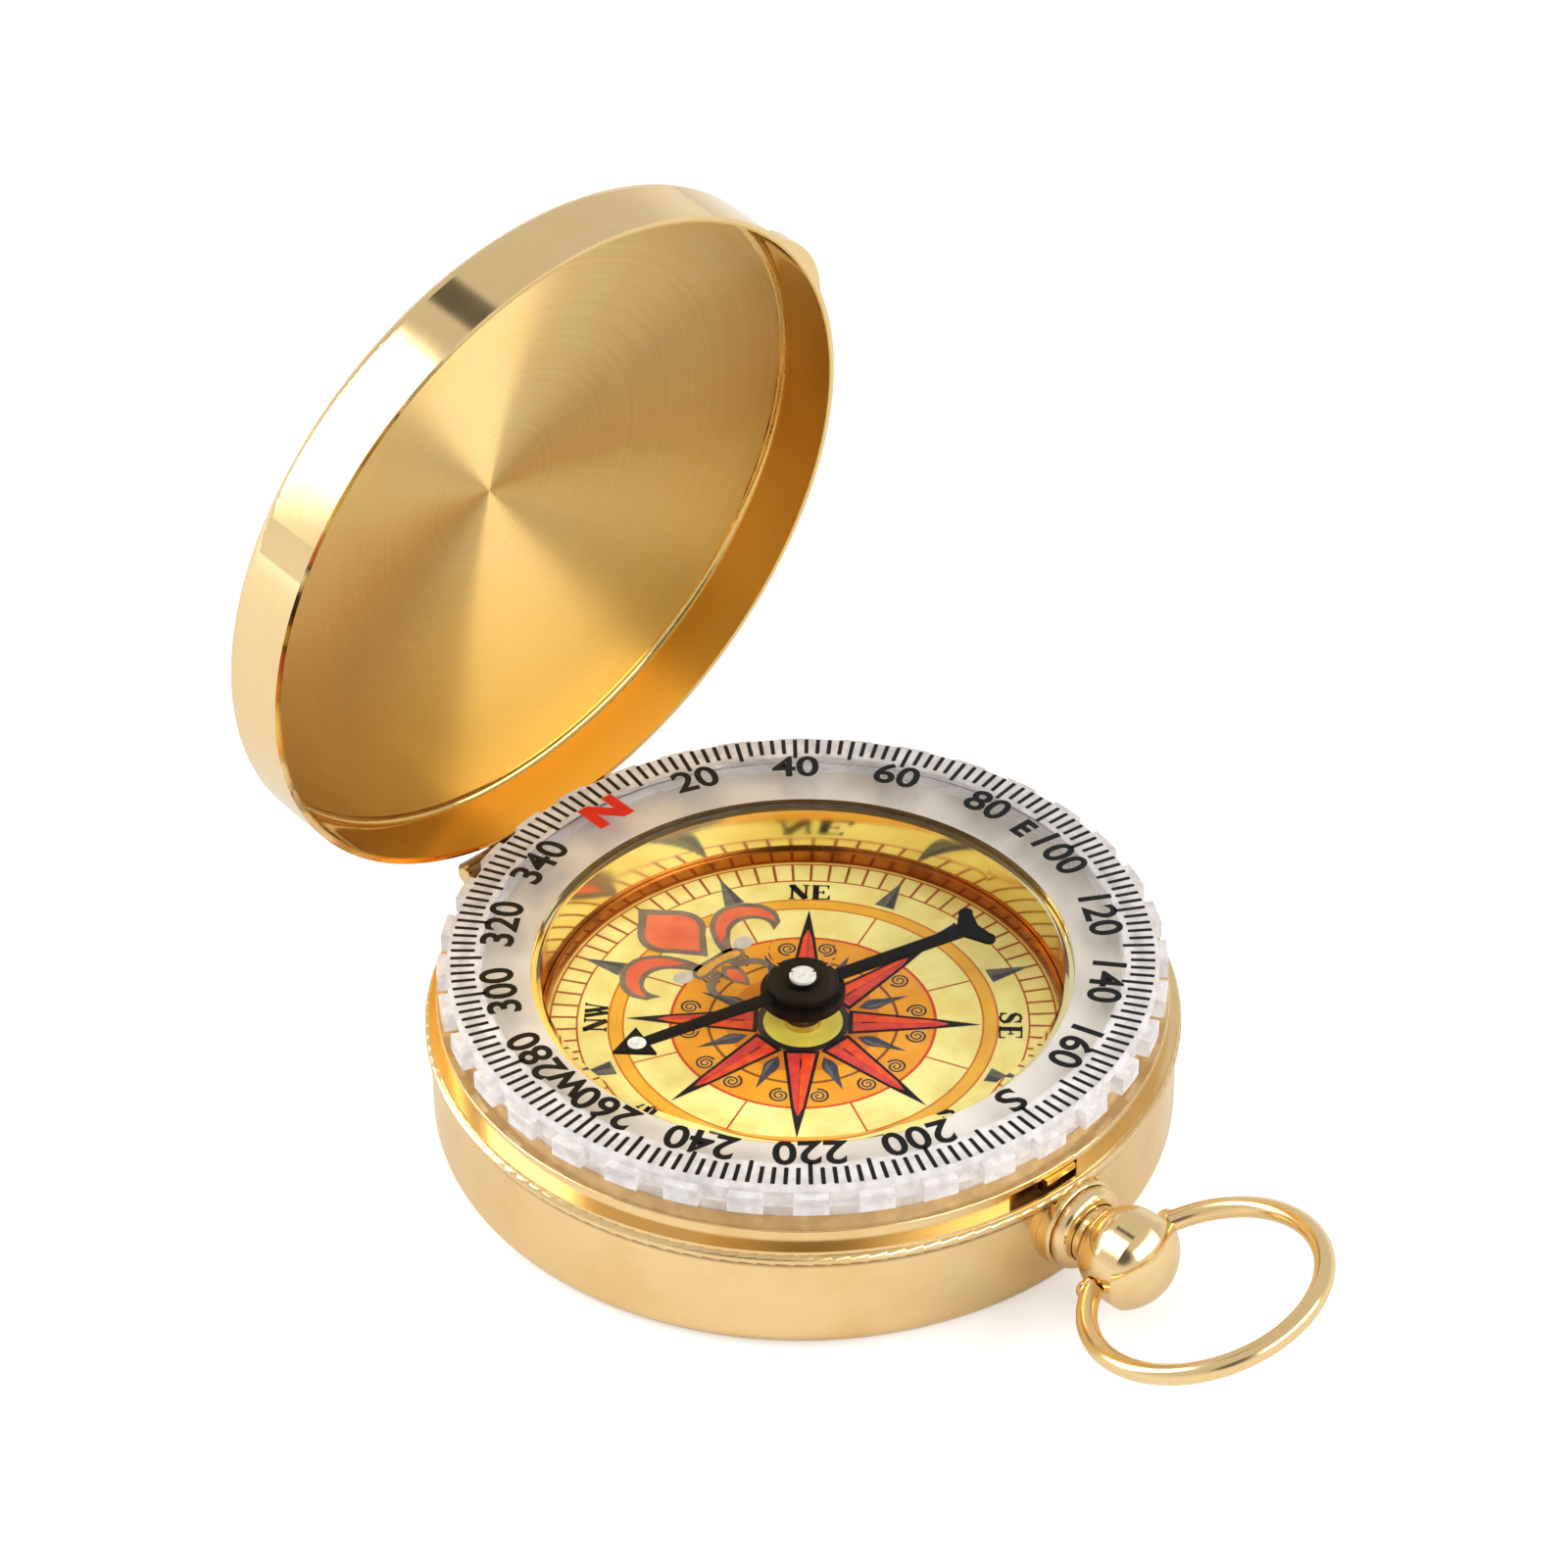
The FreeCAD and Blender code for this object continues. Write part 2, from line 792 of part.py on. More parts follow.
# The bearing cup hangs on the post's tip by its hollow cone.
def bearing_cup():
    return node(
        "bearing_cup",
        turned(
            "bearing_cup",
            [
                ("cup_mouth", "post_tip_height + cup_play - cup_mouth"),
                ("cup_radius", "post_tip_height + cup_play - cup_mouth"),
                ("cup_radius", "post_tip_height + cup_play - cup_mouth + cup_height"),
                ("0", "post_tip_height + cup_play - cup_mouth + cup_height"),
                ("0", "post_tip_height + cup_play"),
            ],
        ),
    )


def needle_hub():
    cup_roof = "post_tip_height + cup_play - cup_mouth + cup_height"
    hub = turned(
        "needle_hub",
        [
            ("cup_radius", "hub_bottom"),
            ("hub_radius", "hub_bottom"),
            ("hub_radius", "blade_bottom"),
            ("hub_neck", "blade_bottom"),
            ("hub_neck", "blade_top"),
            ("hub_cap_radius", "blade_top"),
            ("hub_cap_radius", "cap_top"),
            ("hub_seat_radius", "cap_top"),
            ("hub_seat_radius", "cap_top + hub_seat_height"),
            ("0", "cap_top + hub_seat_height"),
            ("0", cup_roof),
            ("cup_radius", cup_roof),
        ],
        [("hub_round", [("hub_radius", "hub_bottom"), ("hub_cap_radius", "cap_top")])],
    )
    return node("needle_hub", hub)


def needle_turn():
    return "90 - needle_bearing"


# The blade is cut from flat steel: arrow, arm, ring for the hub, arm and fork.
def needle_blade():
    upper = [
        ("arrow_tip", "0"),
        ("arrow_base", "arrow_half_width"),
        ("arrow_base", "arm_end"),
        ("blade_ring", "arm_root"),
        ("-blade_ring", "arm_root"),
        ("-tail_reach", "arm_root"),
        ("-fork_place + fork_lean", "fork_spread + fork_lean"),
        ("-fork_place - fork_lean", "fork_spread - fork_lean"),
        ("-fork_notch", "0"),
    ]
    lower = [(along, f"-({across})") for along, across in reversed(upper[1:-1])]
    arms = padded("needle_arms", upper + lower, "blade_bottom", "blade_top")
    ring = place(rod("blade_ring_disc", "blade_ring", "blade_thick"), z="blade_bottom")
    bore = place(rod("blade_bore", "hub_neck", "blade_thick + overrun"), z="blade_bottom - overrun / 2")
    window = place(
        rod("lume_window", "lume_radius", "blade_thick + overrun"),
        x="lume_place",
        z="blade_bottom - overrun / 2",
    )
    tips = [
        place(rod(f"fork_tip_{side}", "fork_round", "blade_thick"), "-fork_place", spread, "blade_bottom")
        for side, spread in (("left", "-fork_spread"), ("right", "fork_spread"))
    ]
    blade = cut("needle_cut", fuse("needle_flat", arms, ring, *tips), bore, window)
    return node("needle_blade", place(blade, angle=needle_turn()))


def lume_dots():
    head = rod("head_lume", "lume_radius", "blade_thick + lume_proud")
    place(head, x="lume_place", z="blade_bottom")
    hub = place(rod("hub_lume", "hub_dot_radius", "hub_dot_height"), z="cap_top + hub_seat_height")
    dots = doc.addObject("Part::Compound", "lume_pair")
    dots.Links = [head, hub]
    return node("lume_dots", place(dots, angle=needle_turn()))


# Turns a piece drawn in the closed lid's place to where the open lid has it.
def opened(thing):
    thing.Placement = Placement(Vector(), Rotation(ACROSS, -value("lid_open")))
    sine, cosine = "sin(lid_open * 1deg)", "cos(lid_open * 1deg)"
    thing.setExpression("Placement.Base.y", sized(f"hinge_y - hinge_y * {cosine} - hinge_z * {sine}"))
    thing.setExpression("Placement.Base.z", sized(f"hinge_z + hinge_y * {sine} - hinge_z * {cosine}"))
    return thing


def lid_shell():
    shell = turned(
        "lid_blank",
        [
            ("lid_inner", "lid_bottom"),
            ("case_radius", "lid_bottom"),
            ("case_radius", "lid_top", "domed"),
            ("0", "lid_top + lid_dome"),
            ("0", "lid_floor + lid_dome", "domed"),
            ("lid_inner", "lid_floor"),
        ],
        [
            ("lid_round", [("case_radius", "lid_top")]),
            ("lid_inner_round", [("lid_inner", "lid_floor")]),
        ],
    )
    bulge = rod("thumb_round", "thumb_curve", "thumb_height")
    reach = "(case_radius + thumb_reach - thumb_curve)"
    place(bulge, f"{reach} * sin(thumb_bearing * 1deg)", f"{reach} * cos(thumb_bearing * 1deg)", "lid_bottom")
    bore = rod("thumb_bore", "case_radius - thumb_inset", "lid_depth + overrun")
    place(bore, z="lid_bottom - overrun / 2")
    lip = cut("thumb_lip", bulge, bore)
    catch = block(
        "catch",
        ("-catch_left", "catch_right"),
        ("-lid_inner - catch_depth", "-lid_inner + overrun"),
        ("lid_bottom + catch_low", "lid_bottom + catch_low + catch_height"),
    )
    return node("lid_shell", opened(cut("lid_cut", fuse("lid_with_lip", shell, lip), catch)))


def knuckle(name, left, right):
    barrel = rod(name, "knuckle_radius", f"({right}) - ({left})")
    barrel.Placement = Placement(Vector(), Rotation(ALONG, 90))
    for side, text in (("x", left), ("y", "hinge_y"), ("z", "hinge_z")):
        barrel.setExpression("Placement.Base." + side, sized(text))
    return barrel


def hinge_rod(name, radius, half):
    bar = rod(name, radius, f"2 * ({half})")
    bar.Placement = Placement(Vector(), Rotation(ALONG, 90))
    for side, text in (("x", f"-({half})"), ("y", "hinge_y"), ("z", "hinge_z")):
        bar.setExpression("Placement.Base." + side, sized(text))
    return bar


def lid_knuckles():
    barrels = [
        knuckle("lid_barrel_left", "-lid_knuckle_half", "-spring_gap_half"),
        knuckle("lid_barrel_right", "spring_gap_half", "lid_knuckle_half"),
    ]
    leaf = block(
        "lid_leaf",
        ("-lid_knuckle_half", "lid_knuckle_half"),
        ("case_radius - overrun", "case_radius + leaf_thick"),
        ("lid_bottom + lid_seat", "lid_bottom + lid_leaf_height"),
    )
    wall = place(rod("lid_wall_round", "case_radius", "lid_depth + overrun"), z="lid_bottom - overrun / 2")
    bore = hinge_rod("lid_pin_bore", "pin_radius + pin_play", "lid_knuckle_half + overrun")
    hinge = fuse("lid_hinge", leaf, *barrels)
    return node("lid_knuckles", opened(cut("lid_knuckle_cut", hinge, wall, bore)))


def case_knuckles():
    inner = "lid_knuckle_half + knuckle_gap"
    pieces = []
    for side, left, right in (
        ("left", "-case_knuckle_end", f"-({inner})"),
        ("right", inner, "case_knuckle_end"),
    ):
        pieces.append(knuckle(f"case_barrel_{side}", left, right))
        pieces.append(
            block(
                f"case_leaf_{side}",
                (left, right),
                ("case_radius - 2 * overrun", "case_radius + leaf_thick"),
                ("hinge_z - case_leaf_height", "hinge_z"),
            )
        )
    wall = rod("case_wall_round", "case_radius", "case_height")
    bead = rod("bead_round_bar", "bead_radius", "bead_height + step_height + overrun")
    place(bead, z="case_height")
    bore = hinge_rod("case_pin_bore", "pin_radius + pin_press_play", "case_knuckle_end + overrun")
    return node("case_knuckles", cut("case_knuckle_cut", fuse("case_hinge", *pieces), wall, bead, bore))


def hinge_pin():
    shank = hinge_rod("pin_shank", "pin_radius", "case_knuckle_end")
    heads = []
    for side, left in (("left", "-case_knuckle_end - pin_head_length"), ("right", "case_knuckle_end")):
        head = rod(f"pin_head_{side}", "pin_head", "pin_head_length")
        head.Placement = Placement(Vector(), Rotation(ALONG, 90))
        for axis, text in (("x", left), ("y", "hinge_y"), ("z", "hinge_z")):
            head.setExpression("Placement.Base." + axis, sized(text))
        heads.append(head)
    return node("hinge_pin", fuse("pin_and_heads", shank, *heads))


# A spring's foot lies on the floor, and a riser joins it to the strip's end.
def foot_and_riser(name, outer, thick, angle, high):
    x, y = foot_place(outer, angle)
    plate = bind(
        doc.addObject("Part::Box", name + "_plate"),
        Length="spring_foot",
        Width="spring_foot",
        Height="spring_foot_thick",
    )
    riser = bind(
        doc.addObject("Part::Box", name + "_riser"),
        Length=thick,
        Width="riser_width",
        Height=f"({high}) - case_floor",
    )
    turn = value(angle)
    spin = Rotation(UP, turn)
    for thing, along, width in (
        (plate, f"({outer} - spring_foot)", "spring_foot"),
        (riser, f"({outer} - {thick})", "riser_width"),
    ):
        thing.Placement = Placement(Vector(), spin)
        ahead = f"{along} * cos({angle} * 1deg) + {width} / 2 * sin({angle} * 1deg)"
        aside = f"{along} * sin({angle} * 1deg) - {width} / 2 * cos({angle} * 1deg)"
        thing.setExpression("Placement.Base.x", sized(ahead))
        thing.setExpression("Placement.Base.y", sized(aside))
        thing.setExpression("Placement.Base.z", sized("case_floor"))
    hole = rod(name + "_hole", "screw_shank", "spring_foot_thick + overrun")
    return plate, riser, place(hole, x, y, "case_floor - overrun / 2")


def lift_spring():
    strip = arc_strip(
        "lift_strip", "spring_outer", "spring_thick", "spring_low", "spring_high", "lift_start_angle", "lift_end_angle"
    )
    root = block(
        "lift_root",
        ("-tongue_half", "tongue_half"),
        ("spring_outer - spring_thick", "spring_outer"),
        ("spring_high - jog_height", "tongue_jog"),
    )
    jog = block(
        "lift_jog",
        ("-tongue_half", "tongue_half"),
        ("spring_outer - spring_thick", "case_radius - tongue_outset"),
        ("tongue_jog - jog_height", "tongue_jog"),
    )
    riser = block(
        "lift_tongue",
        ("-tongue_half", "tongue_half"),
        ("case_radius - tongue_outset - spring_thick", "case_radius - tongue_outset"),
        ("tongue_jog - jog_height", "tongue_top"),
    )
    plate, foot_riser, hole = foot_and_riser(
        "lift_foot", "spring_outer", "spring_thick", "lift_end_angle", "spring_high"
    )
    sheet_metal = fuse("lift_sheet", strip, root, jog, riser, plate, foot_riser)
    return node("lift_spring", cut("lift_cut", sheet_metal, hole))


def latch_return_spring():
    strip = arc_strip(
        "return_strip",
        "return_outer",
        "spring_thick",
        "spring_low",
        "spring_high",
        "return_start_angle",
        "return_end_angle",
    )
    pad = block(
        "return_pad_block",
        ("-return_pad", "-return_pad + spring_thick"),
        ("-lever_radius + lever_thick + return_gap", "-return_outer + spring_thick"),
        ("spring_low", "spring_high"),
    )
    plate, riser, hole = foot_and_riser(
        "return_foot", "return_outer", "spring_thick", "return_end_angle", "spring_high"
    )
    sheet_metal = fuse("return_sheet", strip, pad, plate, riser)
    return node("latch_return_spring", cut("return_cut", sheet_metal, hole))


def spring_screws():
    screws = []
    for number, (x, y) in enumerate(screw_places()):
        bottom = "case_floor - screw_depth"
        head_low = "case_floor + spring_foot_thick"
        head_top = f"{head_low} + screw_head_height"
        shank = place(rod(f"screw_shank_{number}", "screw_shank", f"{head_low} - ({bottom})"), x, y, bottom)
        head = place(rod(f"screw_head_{number}", "screw_head", "screw_head_height"), x, y, head_low)
        slot = block(
            f"screw_slot_{number}",
            (f"{x} - screw_head - overrun", f"{x} + screw_head + overrun"),
            (f"{y} - screw_slot_width / 2", f"{y} + screw_slot_width / 2"),
            (f"{head_top} - screw_slot_depth", f"{head_top} + overrun"),
        )
        screws.append(cut(f"screw_{number}", fuse(f"screw_blank_{number}", shank, head), slot))
    pair = doc.addObject("Part::Compound", "screw_pair")
    pair.Links = screws
    return node("spring_screws", pair)


def latch_post():
    post = turned(
        "latch_post_blank",
        [
            ("0", "case_floor"),
            ("latch_post_base", "case_floor"),
            ("latch_post_base", "spring_low - eye_end_play"),
            ("latch_post_radius", "spring_low - eye_end_play"),
            ("latch_post_radius", "spring_high + eye_end_play"),
            ("0", "spring_high + eye_end_play"),
        ],
    )
    return node("latch_post", place(post, "-post_offset", "-lever_y", "0"))


# The lever runs from its eye along the case's wall and ends in the nose.
def latch_lever():
    start = "-90 + lever_right / lever_radius * 1rad / 1deg"
    end = "-90 - asin(post_offset / (lever_radius - lever_thick / 2)) / 1deg"
    strip = arc_strip("lever_strip", "lever_radius", "lever_thick", "spring_low", "lever_top", start, end)
    eye = rod("lever_eye", "eye_radius", "spring_high - spring_low")
    place(eye, "-post_offset", "-lever_y", "spring_low")
    jog = block(
        "lever_jog",
        ("-lever_left", "lever_right"),
        ("-tongue_radius", "-lever_radius + lever_thick"),
        ("lever_top - jog_height", "lever_top"),
    )
    tongue = block(
        "lever_tongue",
        ("-lever_left", "lever_right"),
        ("-tongue_radius", "-tongue_radius + tongue_thick"),
        ("lever_top - jog_height", "nose_high"),
    )
    nose = block(
        "lever_nose",
        ("-lever_left", "lever_right"),
        ("-tongue_radius - nose_reach", "-tongue_radius + tongue_thick"),
        ("nose_low", "nose_high"),
    )
    bore = rod("eye_bore", "latch_post_radius + eye_play", "lever_top")
    place(bore, "-post_offset", "-lever_y", "spring_low / 2")
    sheet_metal = fuse("lever_sheet", strip, eye, jog, tongue, nose)
    return node("latch_lever", cut("lever_cut", sheet_metal, bore))


# The neck is drawn along its axis, outwards, and its foot is cut to the case.
def pendant_neck():
    neck = turned(
        "neck_blank",
        [
            ("stem_radius + stem_play", "case_inner - overrun"),
            ("neck_spigot", "case_inner - overrun"),
            ("neck_spigot", "case_radius - neck_sink"),
            ("neck_ring_radius", "case_radius - neck_sink"),
            ("neck_ring_radius", "neck_ring_end"),
            ("neck_groove_radius", "neck_ring_end"),
            ("neck_groove_radius", "neck_ring_end + neck_groove_width"),
            ("neck_barrel_radius", "neck_ring_end + neck_groove_width"),
            ("neck_barrel_radius", "neck_end"),
            ("neck_mouth", "neck_end"),
            ("neck_mouth", "neck_end - neck_mouth_depth"),
            ("neck_chamber", "neck_end - neck_mouth_depth"),
            ("neck_chamber", "neck_floor"),
            ("stem_radius + stem_play", "neck_floor"),
        ],
        [
            ("neck_ring_round", [("neck_ring_radius", "neck_ring_end")]),
            ("neck_barrel_round", [("neck_barrel_radius", "neck_end")]),
        ],
    )
    outward(neck)
    spigot_zone = rod("spigot_zone", "neck_spigot + neck_spigot_play / 2", "case_radius")
    outward(spigot_zone)
    inside = rod("inside_case", "case_inner", "case_height")
    wall = rod("case_bar", "case_radius", "case_height")
    wall_round = cut("wall_less_spigot", wall, spigot_zone)
    bead = place(rod("bead_bar", "bead_radius", "bead_height + step_height"), z="case_height")
    return node("pendant_neck", cut("neck_cut", neck, inside, wall_round, bead))


def button_stem():
    head_low = "stem_head_end - stem_head_thick"
    stem = turned(
        "button_stem",
        [
            ("0", "stem_tip_end"),
            ("stem_tip_radius", "stem_tip_end"),
            ("stem_tip_radius", head_low),
            ("stem_head_radius", head_low),
            ("stem_head_radius", "stem_head_end"),
            ("stem_radius", "stem_head_end"),
            ("stem_radius", "swivel_place"),
            ("swivel_head_radius", "swivel_place"),
            ("swivel_head_radius", "swivel_place + swivel_head_length"),
            ("0", "swivel_place + swivel_head_length"),
        ],
    )
    return node("button_stem", outward(stem))


# A coil of round wire between the neck's floor and the back of the ball.
def button_spring():
    low = "neck_floor + coil_wire"
    high = "coil_seat - coil_wire - coil_end_gap"
    helix = doc.addObject("Part::Helix", "coil_path")
    rise = f"(({high}) - ({low}))"
    bind(helix, Radius="coil_radius", Height=rise, Pitch=f"{rise} / coil_turns")
    circle = doc.addObject("Part::Circle", "coil_section")
    bind(circle, Radius="coil_wire")
    place(circle, x="coil_radius", axis=ACROSS, angle="90")
    doc.recompute()
    coil = doc.addObject("Part::Sweep", "coil")
    coil.Sections = [circle]
    coil.Spine = (helix, ["Edge1"])
    coil.Solid = True
    coil.Frenet = True
    doc.recompute()
    coil.Placement = Placement(Vector(), Rotation(ACROSS, 90))
    coil.setExpression("Placement.Base.y", sized(f"-({low})"))
    coil.setExpression("Placement.Base.z", sized("crown_height"))
    return node("button_spring", coil)


# The ball and the bow are rolled together about the crown's axis.
def rolled(thing, tilt, y="0"):
    roll = Rotation(ALONG, -value("ball_roll"))
    thing.Placement = Placement(Vector(), roll * Rotation(ACROSS, tilt))
    thing.setExpression("Placement.Base.y", sized(y))
    thing.setExpression("Placement.Base.z", sized("crown_height"))
    return thing


def cross_rod(name, radius, left, right, z):
    bar = rod(name, radius, f"({right}) - ({left})")
    bar.Placement = Placement(Vector(), Rotation(ALONG, 90))
    bar.setExpression("Placement.Base.x", sized(left))
    bar.setExpression("Placement.Base.z", sized(z))
    return bar


# A half sphere towards the neck, a short band, then a domed end past a crease.
# Its collar slides in the neck's mouth, round the coil.
def crown_ball():
    back = bind(doc.addObject("Part::Sphere", "ball_back_half"), Radius="ball_radius")
    back.Angle1 = -90
    back.Angle2 = 0
    place(back, z="ball_place")
    band = place(rod("ball_band_bar", "ball_radius", "ball_band"), z="ball_place")
    dome_ball = bind(doc.addObject("Part::Sphere", "dome_ball"), Radius="dome_curve")
    place(dome_ball, z="ball_place + ball_band + ball_dome - dome_curve")
    dome_bar = place(rod("dome_bar", "ball_radius", "ball_dome + overrun"), z="ball_place + ball_band")
    dome = common("ball_end", dome_ball, dome_bar)
    collar = place(rod("ball_collar", "collar_radius", "ball_place - collar_end"), z="collar_end")
    seat = rod("collar_hollow", "neck_chamber", "coil_seat - collar_end + overrun")
    place(seat, z="collar_end - overrun")
    bore = rod("ball_bore", "stem_radius + stem_play", "swivel_place - ball_back + overrun")
    place(bore, z="ball_back - overrun")
    chamber = place(
        rod("ball_chamber", "swivel_head_radius + swivel_play", "swivel_head_length + 2 * swivel_play"),
        z="swivel_place - swivel_play",
    )
    inner = "ball_radius - bow_pin_depth - bow_pin_play"
    outer = "ball_radius + overrun"
    hole = "bow_pin + bow_pin_play"
    holes = [
        cross_rod("bow_hole_left", hole, f"-({outer})", f"-({inner})", "ball_place"),
        cross_rod("bow_hole_right", hole, inner, outer, "ball_place"),
    ]
    ball = cut("ball_cut", fuse("ball_blank", back, band, dome, collar), seat, bore, chamber, *holes)
    return node("crown_ball", rolled(ball, 90))


# The bow is round wire on a circle, with turned-down ends in the ball's holes.
def bow_ring():
    wire = doc.addObject("Part::Torus", "bow_wire_arc")
    bind(
        wire,
        Radius1="bow_radius",
        Radius2="bow_wire",
        Angle3="360deg - 2 * asin(bow_end / bow_radius)",
    )
    place(wire, y="-bow_offset", angle="90 + asin(bow_end / bow_radius) / 1deg")
    ends = []
    for side, sign in (("left", "-"), ("right", "")):
        stub_low = "ball_radius + bow_stub_gap"
        pin_low = "ball_radius - bow_pin_depth"
        spans = (
            ("stub", "bow_wire", stub_low, "bow_stub_end"),
            ("pin", "bow_pin", pin_low, "bow_stub_end"),
        )
        for kind, radius, low, high in spans:
            left, right = (low, high) if sign == "" else (f"-({high})", f"-({low})")
            ends.append(cross_rod(f"bow_{kind}_{side}", radius, left, right, "0"))
        knob = bind(doc.addObject("Part::Sphere", f"bow_bend_{side}"), Radius="bow_wire")
        ends.append(place(knob, x=f"{sign}bow_stub_end"))
    bow = fuse("bow_fused", wire, *ends)
    return node("bow_ring", rolled(bow, -value("bow_angle"), "-ball_place"))


MAKERS = (
    case_shell,
    rim_ring,
    case_knuckles,
    hinge_pin,
    lid_shell,
    lid_knuckles,
    lift_spring,
    spring_screws,
    latch_lever,
    latch_post,
    latch_return_spring,
    pendant_neck,
    button_stem,
    button_spring,
    crown_ball,
    bow_ring,
    bezel_crystal,
    bezel_friction_ring,
    spacer_ring,
    dial_plate,
    dial_card,
    dial_ring,
    well_sleeve,
    pivot_post,
    bearing_cup,
    needle_hub,
    needle_blade,
    lume_dots,
)
for make in MAKERS:
    make()
doc.recompute()

for thing in doc.Objects:
    if "Invalid" in thing.State or "Error" in thing.State:
        raise RuntimeError(f"{thing.Label} did not build: {thing.State}")
for name, thing in NODES.items():
    shape = thing.Shape
    if shape.isNull() or not shape.isValid():
        raise RuntimeError(f"{name} has no valid shape")

os.makedirs("parts", exist_ok=True)
for name, thing in NODES.items():
    shape = thing.Shape
    shape.exportStep(f"parts/{name}.step")
    box = shape.BoundBox
    print(
        f"{name:22s} solids {len(shape.Solids)} volume {shape.Volume:9.3f}"
        f"  x {box.XMin:7.2f} {box.XMax:7.2f}  y {box.YMin:7.2f} {box.YMax:7.2f}"
        f"  z {box.ZMin:6.2f} {box.ZMax:6.2f}"
    )
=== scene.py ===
import math
import bpy
from mathutils import Euler, Matrix, Vector


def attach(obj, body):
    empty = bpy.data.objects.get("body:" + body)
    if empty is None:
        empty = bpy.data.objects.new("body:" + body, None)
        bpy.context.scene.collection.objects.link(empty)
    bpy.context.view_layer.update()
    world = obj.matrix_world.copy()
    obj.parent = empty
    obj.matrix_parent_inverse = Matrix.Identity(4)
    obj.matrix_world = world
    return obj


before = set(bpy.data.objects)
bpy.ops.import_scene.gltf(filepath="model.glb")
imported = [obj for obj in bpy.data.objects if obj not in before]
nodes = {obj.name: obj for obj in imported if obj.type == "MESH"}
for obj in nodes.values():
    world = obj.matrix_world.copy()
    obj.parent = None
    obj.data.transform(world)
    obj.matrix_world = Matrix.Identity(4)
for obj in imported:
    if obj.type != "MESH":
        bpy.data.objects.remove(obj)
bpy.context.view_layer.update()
bpy.ops.object.select_all(action="DESELECT")
print("frame loaded with", len(nodes), "nodes")

# The prints are drawn in millimetres and shrunk into the frame's metres.
mm = 0.001
seamGap = 0.0002
curveSteps = 6
textSteps = 4
roundSteps = 12
tickChamfer = 0.2


# A colour in steps of 0 to 255, turned into the linear light of the shaders.
def colour(red, green, blue):
    channels = [part / 255 for part in (red, green, blue)]
    return tuple(c / 12.92 if c < 0.04 else ((c + 0.055) / 1.055) ** 2.4 for c in channels) + (1,)


def outward(bearing, reach, height=0.0):
    angle = math.radians(bearing)
    return Vector((reach * math.sin(angle), reach * math.cos(angle), height))


def pick(piece):
    bpy.ops.object.select_all(action="DESELECT")
    piece.select_set(True)
    bpy.context.view_layer.objects.active = piece


def settle(piece):
    pick(piece)
    bpy.ops.object.transform_apply(location=True, rotation=True, scale=True)
    return piece


def applyAll(piece):
    pick(piece)
    for modifier in list(piece.modifiers):
        bpy.ops.object.modifier_apply(modifier=modifier.name)


def joinPieces(pieces, name):
    pick(pieces[0])
    for piece in pieces:
        piece.select_set(True)
    if len(pieces) > 1:
        bpy.ops.object.join()
    whole = bpy.context.object
    whole.name = name
    whole.data.name = name
    return whole


# Copies of a drawn shape all round the centre, the first one where it was drawn.
def spinCopies(piece, count):
    pick(piece)
    bpy.ops.object.mode_set(mode="EDIT")
    bpy.ops.mesh.select_all(action="SELECT")
    bpy.ops.mesh.spin(
        steps=count - 1, dupli=True, angle=math.radians(360 * (count - 1) / count),
        center=(0, 0, 0), axis=(0, 0, 1),
    )
    bpy.ops.object.mode_set(mode="OBJECT")
    return piece


def turnTo(piece, bearing):
    piece.rotation_euler = (0, 0, math.radians(-bearing))
    return settle(piece)


# Closes the seams of a converted curve or text, and faces it outwards.
def cleanMesh(piece):
    pick(piece)
    bpy.ops.object.mode_set(mode="EDIT")
    bpy.ops.mesh.select_all(action="SELECT")
    bpy.ops.mesh.remove_doubles(threshold=seamGap)
    bpy.ops.mesh.normals_make_consistent(inside=False)
    bpy.ops.object.mode_set(mode="OBJECT")
    return piece


# A flat shape from closed loops of (across, along) points. A third entry "corner"
# keeps a point sharp.
def flatShape(name, loops, low, thick):
    drawn = bpy.data.curves.new(name, "CURVE")
    drawn.dimensions = "2D"
    drawn.fill_mode = "BOTH"
    drawn.extrude = thick / 2
    drawn.resolution_u = curveSteps
    for loop in loops:
        spline = drawn.splines.new("BEZIER")
        spline.bezier_points.add(len(loop) - 1)
        spline.use_cyclic_u = True
        for point, entry in zip(spline.bezier_points, loop):
            point.co = (entry[0], entry[1], 0)
            kind = "VECTOR" if len(entry) > 2 else "AUTO"
            point.handle_left_type = kind
            point.handle_right_type = kind
    piece = bpy.data.objects.new(name, drawn)
    bpy.context.scene.collection.objects.link(piece)
    piece.location.z = low + thick / 2
    pick(piece)
    bpy.ops.object.convert(target="MESH")
    return settle(cleanMesh(bpy.context.object))


def sharp(*points):
    return [(across, along, "corner") for across, along in points]


# The loop round a stroke that runs through points, each with its own width.
def strokeLoop(points, widths):
    path = [Vector(point) for point in points]
    left, right = [], []
    for number, point in enumerate(path):
        before, after = path[max(number - 1, 0)], path[min(number + 1, len(path) - 1)]
        side = (after - before).normalized().orthogonal() * widths[number] / 2
        left.append(tuple(point + side))
        right.append(tuple(point - side))
    return left + right[::-1]


# A round loop, flattened by its squash.
def roundLoop(across, along, radius, squash=1.0):
    turns = [2 * math.pi * step / roundSteps for step in range(roundSteps)]
    return [(across + radius * math.cos(turn), along + radius * squash * math.sin(turn)) for turn in turns]


